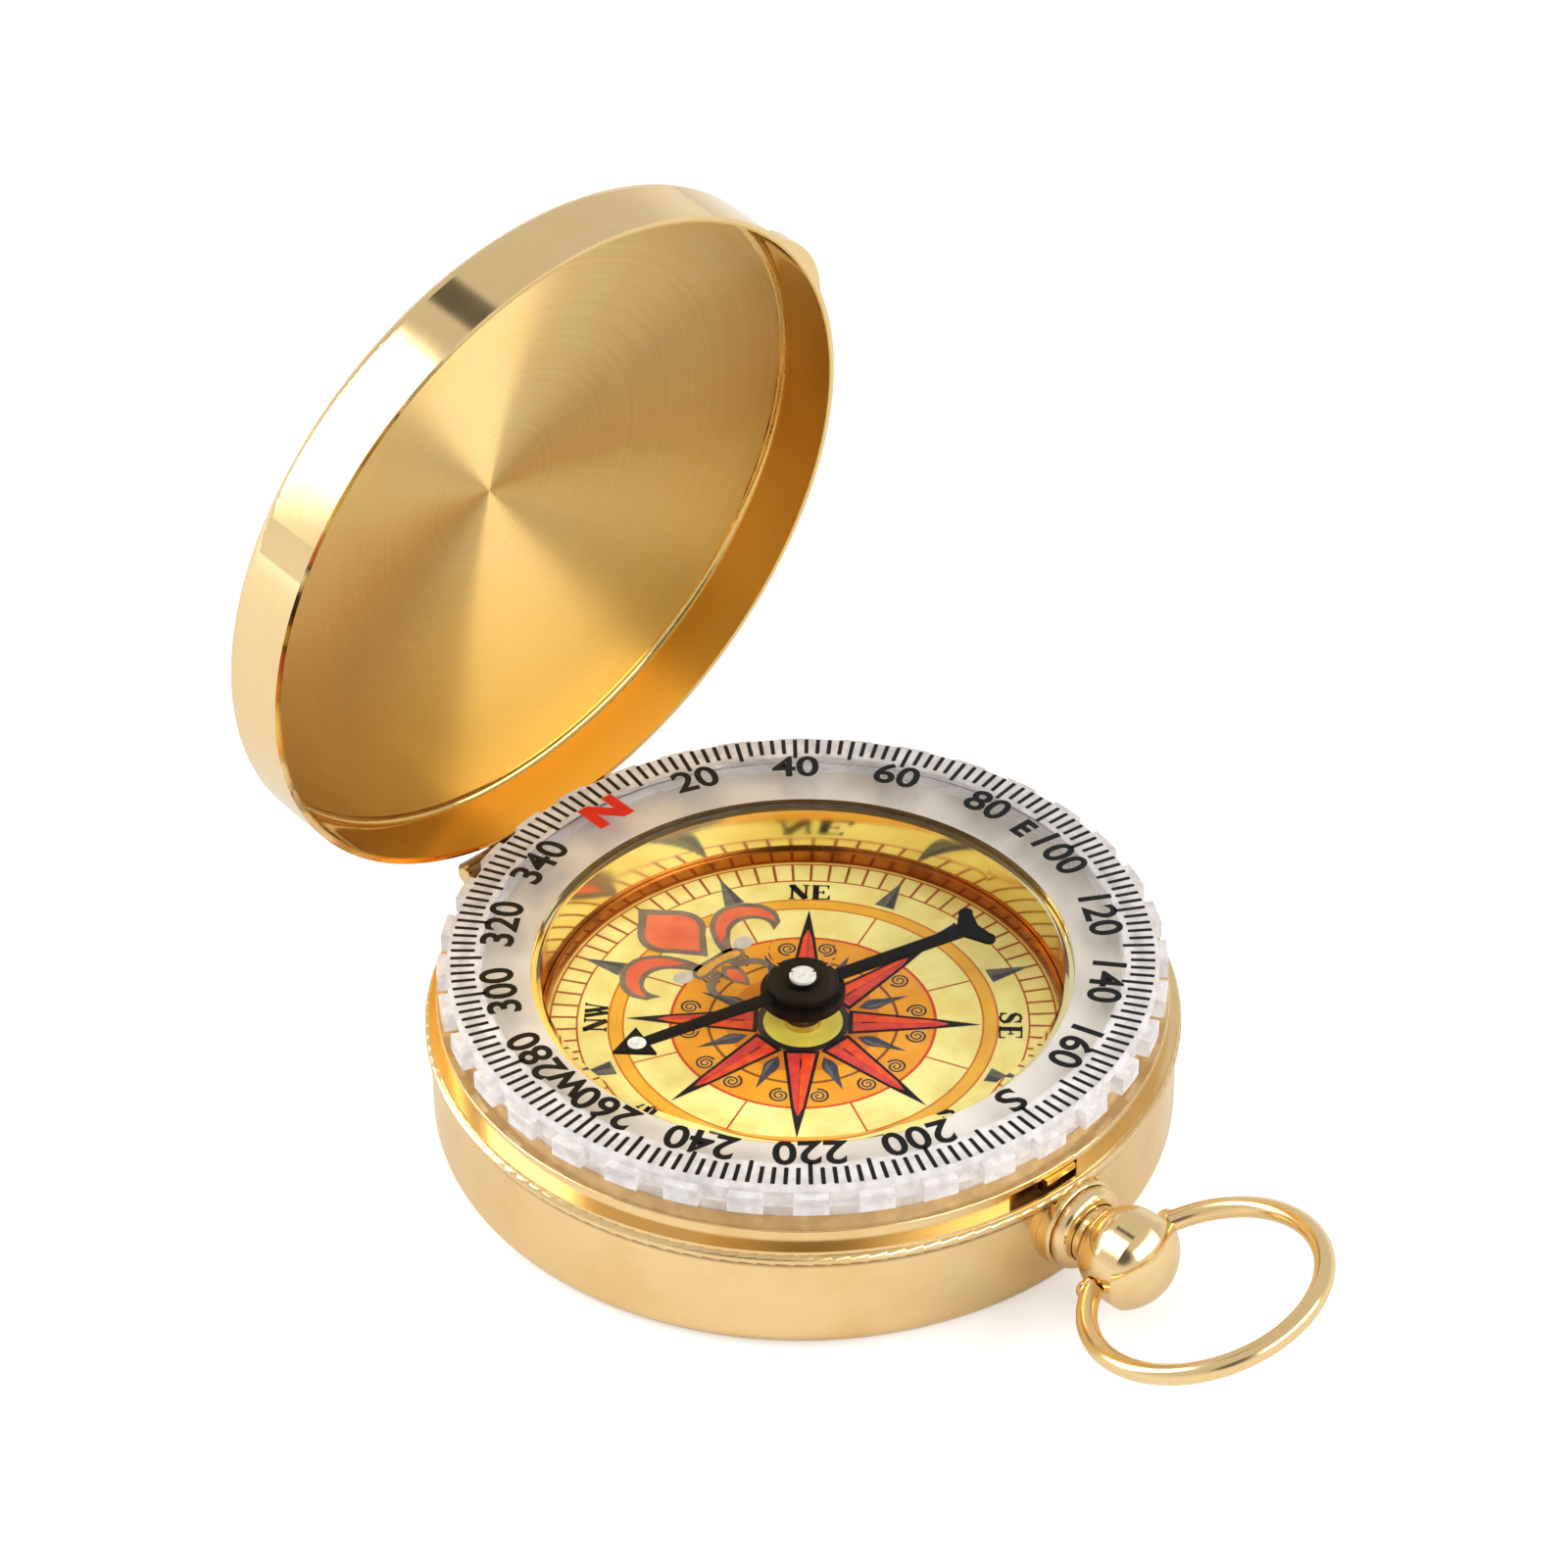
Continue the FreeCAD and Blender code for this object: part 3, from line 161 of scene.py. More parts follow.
def lettering(text, size, bearing, foot, low, thick, stretch, bold):
    bpy.ops.object.text_add()
    piece = bpy.context.object
    piece.data.body = text
    piece.data.size = size
    piece.data.align_x = "CENTER"
    piece.data.align_y = "BOTTOM_BASELINE"
    piece.data.offset = bold
    piece.data.resolution_u = textSteps
    piece.data.extrude = thick / 2
    bpy.ops.object.convert(target="MESH")
    piece = cleanMesh(bpy.context.object)
    piece.scale.x = stretch
    settle(piece)
    piece.location = outward(bearing, foot, low + thick / 2)
    return turnTo(piece, bearing)


# A drawn print takes its finish, shrinks into place and rides on its body.
def finishPrint(piece, name, material, body, bearing=0.0):
    piece.name = name
    piece.data.name = name
    turnTo(piece, bearing)
    piece.scale = (mm, mm, mm)
    settle(piece)
    piece.data.materials.clear()
    piece.data.materials.append(material)
    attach(piece, body)
    return piece


def place(tree, kind, **settings):
    made = tree.nodes.new(kind)
    for name, setting in settings.items():
        setattr(made, name, setting)
    return made


def feed(tree, target, source):
    if isinstance(source, bpy.types.NodeSocket):
        tree.links.new(source, target)
    else:
        target.default_value = source


def sums(tree, operation, first, second=0.0, third=None):
    made = place(tree, "ShaderNodeMath", operation=operation)
    feed(tree, made.inputs[0], first)
    feed(tree, made.inputs[1], second)
    if third is not None:
        feed(tree, made.inputs[2], third)
    return made.outputs[0]


def vectorSums(tree, operation, first, second=None, scale=None):
    made = place(tree, "ShaderNodeVectorMath", operation=operation)
    feed(tree, made.inputs[0], first)
    if second is not None:
        feed(tree, made.inputs[1], second)
    if scale is not None:
        feed(tree, made.inputs["Scale"], scale)
    return made.outputs["Value"] if operation in ("LENGTH", "DOT_PRODUCT") else made.outputs[0]


def between(tree, source, low, high, start=0.0, end=1.0, soft=False):
    made = place(tree, "ShaderNodeMapRange", interpolation_type="SMOOTHSTEP" if soft else "LINEAR")
    for socket, setting in zip(made.inputs, (source, low, high, start, end)):
        feed(tree, socket, setting)
    return made.outputs[0]


def turnAboutX(tree, vector, degrees, centre=(0, 0, 0)):
    made = place(tree, "ShaderNodeVectorRotate", rotation_type="X_AXIS")
    feed(tree, made.inputs["Vector"], vector)
    made.inputs["Center"].default_value = centre
    made.inputs["Angle"].default_value = math.radians(degrees)
    return made.outputs[0]


def noise(tree, vector, scale, detail, dimensions="3D"):
    made = place(tree, "ShaderNodeTexNoise", noise_dimensions=dimensions)
    feed(tree, made.inputs["W" if dimensions == "1D" else "Vector"], vector)
    made.inputs["Scale"].default_value = scale
    made.inputs["Detail"].default_value = detail
    return made.outputs["Fac"]


# The Mix node's first entry and its result, for each kind of thing that it mixes.
mixSockets = {"FLOAT": (2, 0), "VECTOR": (4, 1), "RGBA": (6, 2)}


def blend(tree, kind, share, first, second, how="MIX"):
    made = place(tree, "ShaderNodeMix", data_type=kind, blend_type=how)
    entry, result = mixSockets[kind]
    feed(tree, made.inputs[0], share)
    feed(tree, made.inputs[entry], first)
    feed(tree, made.inputs[entry + 1], second)
    return made.outputs[result]


def blendColour(tree, share, first, second, how="MIX"):
    return blend(tree, "RGBA", share, first, second, how)


def blendShaders(tree, share, first, second):
    made = place(tree, "ShaderNodeMixShader")
    for socket, source in zip(made.inputs, (share, first, second)):
        feed(tree, socket, source)
    return made.outputs[0]


# Bands of colour with hard edges.
def ramp(tree, share, stops):
    made = place(tree, "ShaderNodeValToRGB")
    made.color_ramp.interpolation = "CONSTANT"
    feed(tree, made.inputs[0], share)
    elements = made.color_ramp.elements
    while len(elements) > 1:
        elements.remove(elements[-1])
    elements[0].position, elements[0].color = stops[0]
    for position, shade in stops[1:]:
        elements.new(position).color = shade
    return made.outputs[0]


def startGroup(name, inputs, outputs):
    tree = bpy.data.node_groups.new(name, "ShaderNodeTree")
    for label, kind, setting in inputs:
        socket = tree.interface.new_socket(name=label, in_out="INPUT", socket_type="NodeSocket" + kind)
        if setting is not None:
            socket.default_value = setting
    for label, kind in outputs:
        tree.interface.new_socket(name=label, in_out="OUTPUT", socket_type="NodeSocket" + kind)
    return tree, tree.nodes.new("NodeGroupInput").outputs, tree.nodes.new("NodeGroupOutput").inputs


def useGroup(tree, group, **settings):
    made = place(tree, "ShaderNodeGroup", node_tree=group)
    for name, setting in settings.items():
        feed(tree, made.inputs[name], setting)
    return made.outputs


def weighed(tree, first, firstShare, second, secondShare):
    most = sums(tree, "MULTIPLY", first, firstShare)
    return sums(tree, "ADD", most, sums(tree, "MULTIPLY", second, secondShare))


# The group's vector in steps of its size.
def inSteps(tree, given):
    return vectorSums(tree, "SCALE", given["Vector"], scale=sums(tree, "DIVIDE", 1.0, given["Size"]))


handling = {
    "size": 6.0,
    "smudgeDetail": 4.0,
    "smudgeSpan": (0.42, 0.68),
    "speckScale": 2.6,
    "speckDetail": 2.0,
    "speckSpan": (0.66, 0.78),
}


# Smudges of handling, and the finer specks of the surface, on a vector in millimetres.
def makeHandling():
    tree, given, out = startGroup(
        "handlingMarks", [("Vector", "Vector", None), ("Size", "Float", handling["size"])],
        [("Smudge", "Float"), ("Speck", "Float")],
    )
    smudges = noise(tree, inSteps(tree, given), 1.0, handling["smudgeDetail"])
    specks = noise(tree, given["Vector"], handling["speckScale"], handling["speckDetail"])
    feed(tree, out["Smudge"], between(tree, smudges, *handling["smudgeSpan"], soft=True))
    feed(tree, out["Speck"], between(tree, specks, *handling["speckSpan"]))
    return tree


lathe = {
    "pitch": 0.2,
    "coarseScale": 0.45,
    "coarseDetail": 2.0,
    "coarseShare": 0.6,
    "fineStart": 40.0,
    "fineScale": 1.9,
    "fineDetail": 1.0,
    "fineShare": 0.4,
}


# Lines left by the lathe, from the distance across them in millimetres.
def makeLathe():
    tree, given, out = startGroup(
        "latheLines", [("Across", "Float", 0.0), ("Pitch", "Float", lathe["pitch"])], [("Lines", "Float")]
    )
    steps = sums(tree, "DIVIDE", given["Across"], given["Pitch"])
    coarse = noise(tree, steps, lathe["coarseScale"], lathe["coarseDetail"], "1D")
    further = sums(tree, "ADD", steps, lathe["fineStart"])
    fine = noise(tree, further, lathe["fineScale"], lathe["fineDetail"], "1D")
    feed(tree, out["Lines"], weighed(tree, coarse, lathe["coarseShare"], fine, lathe["fineShare"]))
    return tree


ink = {
    "size": 1.0,
    "patchDetail": 3.0,
    "patchSpan": (0.35, 0.65),
    "patchShare": 0.75,
    "grainScale": 9.0,
    "grainDetail": 1.0,
    "grainShare": 0.25,
    "glossSpan": (0.3, 0.7),
    "roughness": (0.32, 0.5),
}


# Printed ink: its colour wanders a little, and its gloss with it.
def makeInk():
    tree, given, out = startGroup(
        "inkGrain",
        [
            ("Vector", "Vector", None), ("Light", "Color", (1, 1, 1, 1)),
            ("Deep", "Color", (0, 0, 0, 1)), ("Size", "Float", ink["size"]),
        ],
        [("Color", "Color"), ("Roughness", "Float")],
    )
    patches = between(tree, noise(tree, inSteps(tree, given), 1.0, ink["patchDetail"]), *ink["patchSpan"])
    grain = noise(tree, given["Vector"], ink["grainScale"], ink["grainDetail"])
    share = weighed(tree, patches, ink["patchShare"], grain, ink["grainShare"])
    feed(tree, out["Color"], blendColour(tree, share, given["Light"], given["Deep"]))
    feed(tree, out["Roughness"], between(tree, grain, *ink["glossSpan"], *ink["roughness"]))
    return tree


handlingMarks = makeHandling()
latheLines = makeLathe()
inkGrain = makeInk()


def startMaterial(name, **settings):
    material = bpy.data.materials.new(name)
    material.use_nodes = True
    tree = material.node_tree
    shader = tree.nodes["Principled BSDF"]
    for label, setting in settings.items():
        shader.inputs[label.replace("_", " ")].default_value = setting
    spot = place(tree, "ShaderNodeTexCoord").outputs["Object"]
    return material, tree, shader, vectorSums(tree, "SCALE", spot, scale=1 / mm)


def addBump(tree, shader, height, strength, depth):
    bump = place(tree, "ShaderNodeBump")
    bump.inputs["Strength"].default_value = strength
    bump.inputs["Distance"].default_value = depth
    feed(tree, bump.inputs["Height"], height)
    feed(tree, shader.inputs["Normal"], bump.outputs[0])
    return bump


# Distance from a line through the given point along Z or Y, and the height along it.
def roundAbout(tree, spot, axis, centre=(0, 0, 0)):
    moved = vectorSums(tree, "SUBTRACT", spot, centre)
    along = (0, 0, 1) if axis == "Z" else (0, 1, 0)
    flat = vectorSums(tree, "MULTIPLY", moved, tuple(1 - part for part in along))
    return vectorSums(tree, "LENGTH", flat), vectorSums(tree, "DOT_PRODUCT", moved, along)


lineDepth = 0.00002
plainTones = (colour(243, 214, 160), colour(228, 186, 118))
# painted light: a lighter copy of the brass, for the sleeve down in the well
paintedLightTones = (colour(252, 238, 184), colour(246, 222, 150))
brass = {
    "roughness": 0.11,
    "smudgeShare": 0.35,
    "smudgeRoughness": 0.06,
    "lineRoughness": 0.05,
    "lineHeight": 0.12,
    "speckShare": 0.25,
    # painted shade at the seam under the bead: its dark brown colour, where it lies and how strong it is
    "seamShade": colour(96, 58, 22),
    "seamSpan": (7.0, 7.4),
    "seamShadeShare": 0.8,
}


# Turned and polished brass, its lines round an axis. Only the case has a dark line of painted shade at the
# seam under the bead, standing in for a dark reflection there.
def makeBrass(name, pitch, lines, extra=0.0, axis="Z", centre=(0, 0, 0), tones=plainTones, seam=False):
    material, tree, shader, spot = startMaterial(name, Metallic=1.0)
    marks = useGroup(tree, handlingMarks, Vector=spot)
    radius, height = roundAbout(tree, spot, axis, centre)
    across = sums(tree, "ADD", radius, height)
    turned = useGroup(tree, latheLines, Across=across, Pitch=pitch)["Lines"]
    light, deep = tones
    share = weighed(tree, marks["Smudge"], brass["smudgeShare"], turned, lines)
    tone = blendColour(tree, share, light, deep)
    # painted shade: the band under the bead goes towards dark brown, for a dark reflection in the step
    if seam:
        seamShade = between(tree, height, *brass["seamSpan"], soft=True)
        tone = blendColour(tree, sums(tree, "MULTIPLY", seamShade, brass["seamShadeShare"]), tone, brass["seamShade"])
    speck = sums(tree, "MULTIPLY", marks["Speck"], brass["speckShare"])
    feed(tree, shader.inputs["Base Color"], blendColour(tree, speck, tone, deep))
    base = brass["roughness"] + extra
    rough = sums(tree, "MULTIPLY_ADD", marks["Smudge"], brass["smudgeRoughness"], base)
    rough = sums(tree, "MULTIPLY_ADD", turned, brass["lineRoughness"], rough)
    feed(tree, shader.inputs["Roughness"], rough)
    addBump(tree, shader, turned, brass["lineHeight"], lineDepth)
    return material


lidFinish = {
    "hinge": (0, 25.96, 8.585),
    "open": 82.57,
    "floor": 13.0,
    "dome": 3.0,
    "reach": 24.55,
    "skin": 0.2,
    "fan": 2.4,
    "discEdge": 24.05,
    "discPitch": 0.16,
    "discRoughness": 0.44,
    "discLineRoughness": 0.12,
    "wallInside": 24.7,
    "wallPitch": 0.3,
    "wallLines": 0.25,
    "wallRoughness": 0.06,
    "wallSmudgeRoughness": 0.03,
    "smudgeSize": 9.0,
    "smudgeShare": 0.2,
    "lineShare": 0.8,
    "lineHeight": 0.15,
    "light": colour(252, 226, 166),
    "deep": colour(243, 205, 124),
    # painted reflection: a deeper gold towards the hinge, for the brass case that the lid mirrors there
    "reflectedCase": colour(238, 186, 66),
    "reflectedCaseSpan": (-6.0, 24.0),
    "reflectedCaseMost": 0.75,
    # painted reflection: the inner wall's deeper amber, for the gold that it mirrors back and forth
    "amber": colour(224, 186, 112),
}


# From the shut lid's own frame to the world's.
def outOfLid(tree, vector):
    made = place(tree, "ShaderNodeVectorTransform", vector_type="VECTOR")
    made.convert_from = "OBJECT"
    made.convert_to = "WORLD"
    feed(tree, made.inputs[0], turnAboutX(tree, vector, -lidFinish["open"]))
    return made.outputs[0]


# The middle of a dome's mesh is a fan, so its normals are worked out from the dome.
def domeNormal(tree, spot, radius, disc):
    slope = 2 * lidFinish["dome"] / lidFinish["reach"] ** 2
    upward = vectorSums(tree, "ADD", vectorSums(tree, "MULTIPLY", spot, (slope, slope, 0)), (0, 0, 1))
    side = sums(tree, "MULTIPLY_ADD", disc, -2.0, 1.0)
    normal = vectorSums(tree, "NORMALIZE", vectorSums(tree, "SCALE", upward, scale=side))
    middle = sums(tree, "LESS_THAN", radius, lidFinish["fan"])
    ownNormal = place(tree, "ShaderNodeNewGeometry").outputs["Normal"]
    return blend(tree, "VECTOR", middle, ownNormal, outOfLid(tree, normal))


# The domed floor seen from inside, told from its back by its height at each radius.
def lidDisc(tree, radius, height):
    fall = -lidFinish["dome"] / lidFinish["reach"] ** 2
    dome = sums(tree, "MULTIPLY", sums(tree, "MULTIPLY", radius, radius), fall)
    dome = sums(tree, "ADD", dome, lidFinish["floor"] + lidFinish["dome"])
    near = sums(tree, "COMPARE", height, dome, lidFinish["skin"])
    return sums(tree, "MULTIPLY", near, sums(tree, "LESS_THAN", radius, lidFinish["discEdge"]))


# Brushed in circles on the inside of its top and polished elsewhere. Towards the hinge the brass is painted
# a deeper gold as the reflection of the case, and the inner wall is painted a deeper amber as the
# reflection of the gold around it.
def makeLid():
    material, tree, shader, spot = startMaterial("lidBrass", Metallic=1.0, Anisotropic=1.0)
    shut = turnAboutX(tree, spot, lidFinish["open"], lidFinish["hinge"])
    radius, height = roundAbout(tree, shut, "Z")
    disc = lidDisc(tree, radius, height)
    brushed = useGroup(tree, latheLines, Across=radius, Pitch=lidFinish["discPitch"])["Lines"]
    turned = useGroup(tree, latheLines, Across=height, Pitch=lidFinish["wallPitch"])["Lines"]
    marks = useGroup(tree, handlingMarks, Vector=spot, Size=lidFinish["smudgeSize"])
    lines = blend(tree, "FLOAT", disc, sums(tree, "MULTIPLY", turned, lidFinish["wallLines"]), brushed)
    share = weighed(tree, lines, lidFinish["lineShare"], marks["Smudge"], lidFinish["smudgeShare"])
    # painted reflection of the case: the colour turns deeper gold towards the hinge
    along = vectorSums(tree, "DOT_PRODUCT", shut, (0, 1, 0))
    hinged = between(tree, along, *lidFinish["reflectedCaseSpan"], soft=True)
    reflectedCaseShare = sums(tree, "MULTIPLY", hinged, lidFinish["reflectedCaseMost"])
    satinTone = blendColour(tree, share, lidFinish["light"], lidFinish["deep"])
    satinTone = blendColour(tree, reflectedCaseShare, satinTone, lidFinish["reflectedCase"])
    # painted reflection: the inner wall takes the deeper amber
    within = sums(tree, "LESS_THAN", radius, lidFinish["wallInside"])
    innerWall = sums(tree, "MULTIPLY", within, sums(tree, "SUBTRACT", 1.0, disc))
    plainTone = blendColour(tree, innerWall, blendColour(tree, share, *plainTones), lidFinish["amber"])
    feed(tree, shader.inputs["Base Color"], blendColour(tree, disc, plainTone, satinTone))
    wallRough, wallMore = lidFinish["wallRoughness"], lidFinish["wallSmudgeRoughness"]
    plain = sums(tree, "MULTIPLY_ADD", marks["Smudge"], wallMore, wallRough)
    discRough, discMore = lidFinish["discRoughness"], lidFinish["discLineRoughness"]
    satin = sums(tree, "MULTIPLY_ADD", brushed, discMore, discRough)
    feed(tree, shader.inputs["Roughness"], blend(tree, "FLOAT", disc, plain, satin))
    # the grain runs round, so the gloss spreads along the radius, and on the wall along its height
    outwards = vectorSums(tree, "NORMALIZE", vectorSums(tree, "MULTIPLY", shut, (1, 1, 0)))
    feed(tree, shader.inputs["Tangent"], outOfLid(tree, blend(tree, "VECTOR", disc, (0, 0, 1), outwards)))
    bump = addBump(tree, shader, lines, lidFinish["lineHeight"], lineDepth)
    feed(tree, bump.inputs["Normal"], domeNormal(tree, shut, radius, disc))
    return material


clear = {
    "tint": (0.985, 0.987, 0.99, 1),
    "index": 1.06,
    "milk": colour(250, 246, 245),
    "haze": colour(230, 225, 224),
    "milkSpan": (21.2, 21.5),
    "milkIndex": 1.46,
    "milkClear": 0.35,
    "milkRoughness": 0.05,
    "smudgeSize": 4.0,
    "smudgeRoughness": 0.008,
    "streakScale": 0.9,
    "streakDetail": 3.0,
    "streakSpan": (0.4, 0.62),
    "streakRoughness": 0.08,
    "rippleScale": 1.1,
    "rippleDetail": 2.0,
    "rippleHeight": 0.35,
    "rippleDepth": 0.0002,
}


# Clear moulded plastic, milky out in the toothed rim. Lamps reach what is under it.
def makeClear():
    material, tree, shader, spot = startMaterial(
        "clearMoulding", IOR=clear["index"], Transmission_Weight=1.0, Base_Color=clear["tint"]
    )
    marks = useGroup(tree, handlingMarks, Vector=spot, Size=clear["smudgeSize"])
    smudged = sums(tree, "MULTIPLY", marks["Smudge"], clear["smudgeRoughness"])
    feed(tree, shader.inputs["Roughness"], smudged)
    milky = place(tree, "ShaderNodeBsdfPrincipled")
    milky.inputs["IOR"].default_value = clear["milkIndex"]
    milky.inputs["Transmission Weight"].default_value = clear["milkClear"]
    streaks = noise(tree, spot, clear["streakScale"], clear["streakDetail"])
    streaks = between(tree, streaks, *clear["streakSpan"], soft=True)
    feed(tree, milky.inputs["Base Color"], blendColour(tree, streaks, clear["milk"], clear["haze"]))
    rough = sums(tree, "MULTIPLY_ADD", streaks, clear["streakRoughness"], clear["milkRoughness"])
    feed(tree, milky.inputs["Roughness"], rough)
    ripples = noise(tree, spot, clear["rippleScale"], clear["rippleDetail"])
    addBump(tree, milky, ripples, clear["rippleHeight"], clear["rippleDepth"])
    rim = between(tree, roundAbout(tree, spot, "Z")[0], *clear["milkSpan"], soft=True)
    moulding = blendShaders(tree, rim, shader.outputs[0], milky.outputs[0])
    through = place(tree, "ShaderNodeBsdfTransparent")
    through.inputs[0].default_value = clear["tint"]
    lampRay = place(tree, "ShaderNodeLightPath").outputs["Is Shadow Ray"]
    mixed = blendShaders(tree, lampRay, moulding, through.outputs[0])
    feed(tree, tree.nodes["Material Output"].inputs["Surface"], mixed)
    return material


def makeInkFinish(name, light, deep, size=1.0, **more):
    material, tree, shader, spot = startMaterial(name, **more)
    grain = useGroup(tree, inkGrain, Vector=spot, Light=light, Deep=deep, Size=size)
    feed(tree, shader.inputs["Base Color"], grain["Color"])
    feed(tree, shader.inputs["Roughness"], grain["Roughness"])
    return material


solid = {
    "smudgeRoughness": 0.08,
    "grainScale": 5.0,
    "grainDetail": 3.0,
}


def makeSolid(name, light, deep, roughness, metallic=0.0, size=2.0, bump=0.05, **more):
    material, tree, shader, spot = startMaterial(name, Metallic=metallic, **more)
    marks = useGroup(tree, handlingMarks, Vector=spot, Size=size)
    feed(tree, shader.inputs["Base Color"], blendColour(tree, marks["Smudge"], light, deep))
    rough = sums(tree, "MULTIPLY_ADD", marks["Smudge"], solid["smudgeRoughness"], roughness)
    feed(tree, shader.inputs["Roughness"], rough)
    addBump(tree, shader, noise(tree, spot, solid["grainScale"], solid["grainDetail"]), bump, lineDepth)
    return material


dialColours = {
    "yellow": colour(236, 224, 92),
    "black": colour(24, 20, 34),
    "amber": colour(242, 164, 34),
    "amberDeep": colour(222, 130, 18),
    "brown": colour(128, 74, 22),
    "red": colour(214, 66, 34),
    "brick": colour(196, 104, 40),
    "cream": colour(252, 243, 158),
    "creamDeep": colour(240, 222, 122),
    "orange": colour(214, 120, 26),
    "gold": colour(246, 186, 58),
}
dialBands = [
    (0.0, "yellow"), (2.62, "black"), (3.15, "amberDeep"), (5.2, "amber"), (6.22, "brown"), (6.42, "amber"),
    (8.72, "red"), (8.98, "cream"), (12.0, "orange"), (12.16, "gold"), (12.98, "orange"), (13.08, "cream"),
    (15.08, "brick"), (15.22, "cream"), (16.93, "brick"), (17.07, "creamDeep"),
]
card = {
    "span": 18.0,
    "coat": 0.15,
    "light": (1, 1, 1, 1),
    "deep": colour(240, 226, 196),
    "inkSize": 2.4,
}


# The card's bands of colour, by their distance from the middle of the dial.
def makeCard():
    material, tree, shader, spot = startMaterial("dialCardPrint", Coat_Weight=card["coat"])
    radius = roundAbout(tree, spot, "Z")[0]
    stops = [(start / card["span"], dialColours[name]) for start, name in dialBands]
    bands = ramp(tree, sums(tree, "DIVIDE", radius, card["span"]), stops)
    grain = useGroup(
        tree, inkGrain, Vector=spot, Light=card["light"], Deep=card["deep"], Size=card["inkSize"]
    )
    feed(tree, shader.inputs["Base Color"], blendColour(tree, 1.0, bands, grain["Color"], "MULTIPLY"))
    feed(tree, shader.inputs["Roughness"], grain["Roughness"])
    return material


casePolish = makeBrass("casePolish", 0.22, 0.3, seam=True)
rimPolish = makeBrass("rimPolish", 0.12, 0.4, 0.02)
crownPolish = makeBrass("crownPolish", 0.15, 0.3, -0.02, axis="Y", centre=(0, 0, 4.95))
bowPolish = makeBrass("bowPolish", 0.6, 0.2, 0.01, axis="Y")
# the sleeve in the well takes the lighter brass copy, painted light
wellPolish = makeBrass("wellPolish", 0.16, 0.2, -0.05, tones=paintedLightTones)
lidBrass = makeLid()
clearMoulding = makeClear()
dialCardPrint = makeCard()
needlePaint = makeSolid(
    "needlePaint", colour(10, 10, 12), colour(20, 18, 20), 0.42, size=1.5, Specular_IOR_Level=0.12
)
hubMoulding = makeSolid(
    "hubMoulding", colour(9, 8, 10), colour(20, 18, 20), 0.2, size=1.2, Specular_IOR_Level=0.16
)
lumePaint = makeSolid("lumePaint", colour(226, 224, 212), colour(200, 196, 184), 0.5, size=0.4, bump=0.2)
# painted shade: the ring's brown stands for the shadow line at the dial's edge
ringShadeBrown = makeSolid("ringShadeBrown", colour(176, 104, 46), colour(150, 84, 32), 0.16, metallic=1.0)
springSteel = makeSolid("springSteel", colour(176, 176, 178), colour(148, 149, 153), 0.24, metallic=1.0)
latchGilt = makeSolid("latchGilt", colour(250, 214, 120), colour(240, 190, 86), 0.16, metallic=1.0)
plateBrass = makeSolid("plateBrass", colour(214, 184, 128), colour(190, 156, 98), 0.34, metallic=1.0)
cupBrass = makeSolid("cupBrass", colour(226, 196, 138), colour(206, 170, 108), 0.2, metallic=1.0)
silicone = makeSolid("silicone", colour(220, 216, 208), colour(206, 200, 190), 0.5, bump=0.2)
spacerPlastic = makeSolid("spacerPlastic", colour(58, 56, 54), colour(74, 71, 68), 0.45)
print("finishes made")

nodeFinishes = {
    "case_shell": casePolish, "rim_ring": rimPolish, "case_knuckles": casePolish,
    "lid_shell": lidBrass, "lid_knuckles": casePolish, "hinge_pin": bowPolish, "bow_ring": bowPolish,
    "pendant_neck": crownPolish, "crown_ball": crownPolish, "button_stem": crownPolish,
    "well_sleeve": wellPolish, "bezel_crystal": clearMoulding, "dial_card": dialCardPrint,
    "dial_ring": ringShadeBrown, "needle_blade": needlePaint, "needle_hub": hubMoulding,
    "lume_dots": lumePaint, "bearing_cup": cupBrass, "pivot_post": cupBrass, "dial_plate": plateBrass,
    "latch_post": plateBrass, "spacer_ring": spacerPlastic, "bezel_friction_ring": silicone,
    "latch_lever": latchGilt, "lift_spring": springSteel, "latch_return_spring": springSteel,
    "button_spring": springSteel, "spring_screws": springSteel,
}
for name, finish in nodeFinishes.items():
    slots = nodes[name].data.materials
    if not slots:
        slots.append(finish)
    for number in range(len(slots)):
        slots[number] = finish
print("finishes given to", len(nodeFinishes), "nodes")

scale = {
    "bearing": 2.85,
    "top": 12.8,
    "thick": 0.012,
    "foot": 19.28,
    "size": 3.12,
    "stretch": 1.04,
    "bold": 0.07,
    "capitalSize": 2.4,
    "capitalBold": 0.11,
    "southStretch": 1.1,
    "tickWidth": 0.29,
    "shortTick": (21.8, 23.42),
    "longTick": (21.3, 23.42),
    "tickDegrees": 2,
    "ticksInGroup": 5,
    "north": [
        (-1.5, 0), (-1.5, 2.6), (-0.6, 2.6), (0.65, 1.25), (0.65, 2.6),
        (1.5, 2.6), (1.5, 0), (0.6, 0), (-0.65, 1.35), (-0.65, 0),
    ],
    "northFoot": 19.13,
    "ink": makeInkFinish("scaleInk", colour(9, 8, 9), colour(20, 18, 19), Specular_IOR_Level=0.2),
    "redInk": makeInkFinish("scaleRed", colour(232, 52, 34), colour(214, 40, 28), Specular_IOR_Level=0.2),
}


def scaleText(text, degrees, size, stretch, bold):
    return lettering(text, size, degrees, scale["foot"], scale["top"], scale["thick"], stretch, bold)


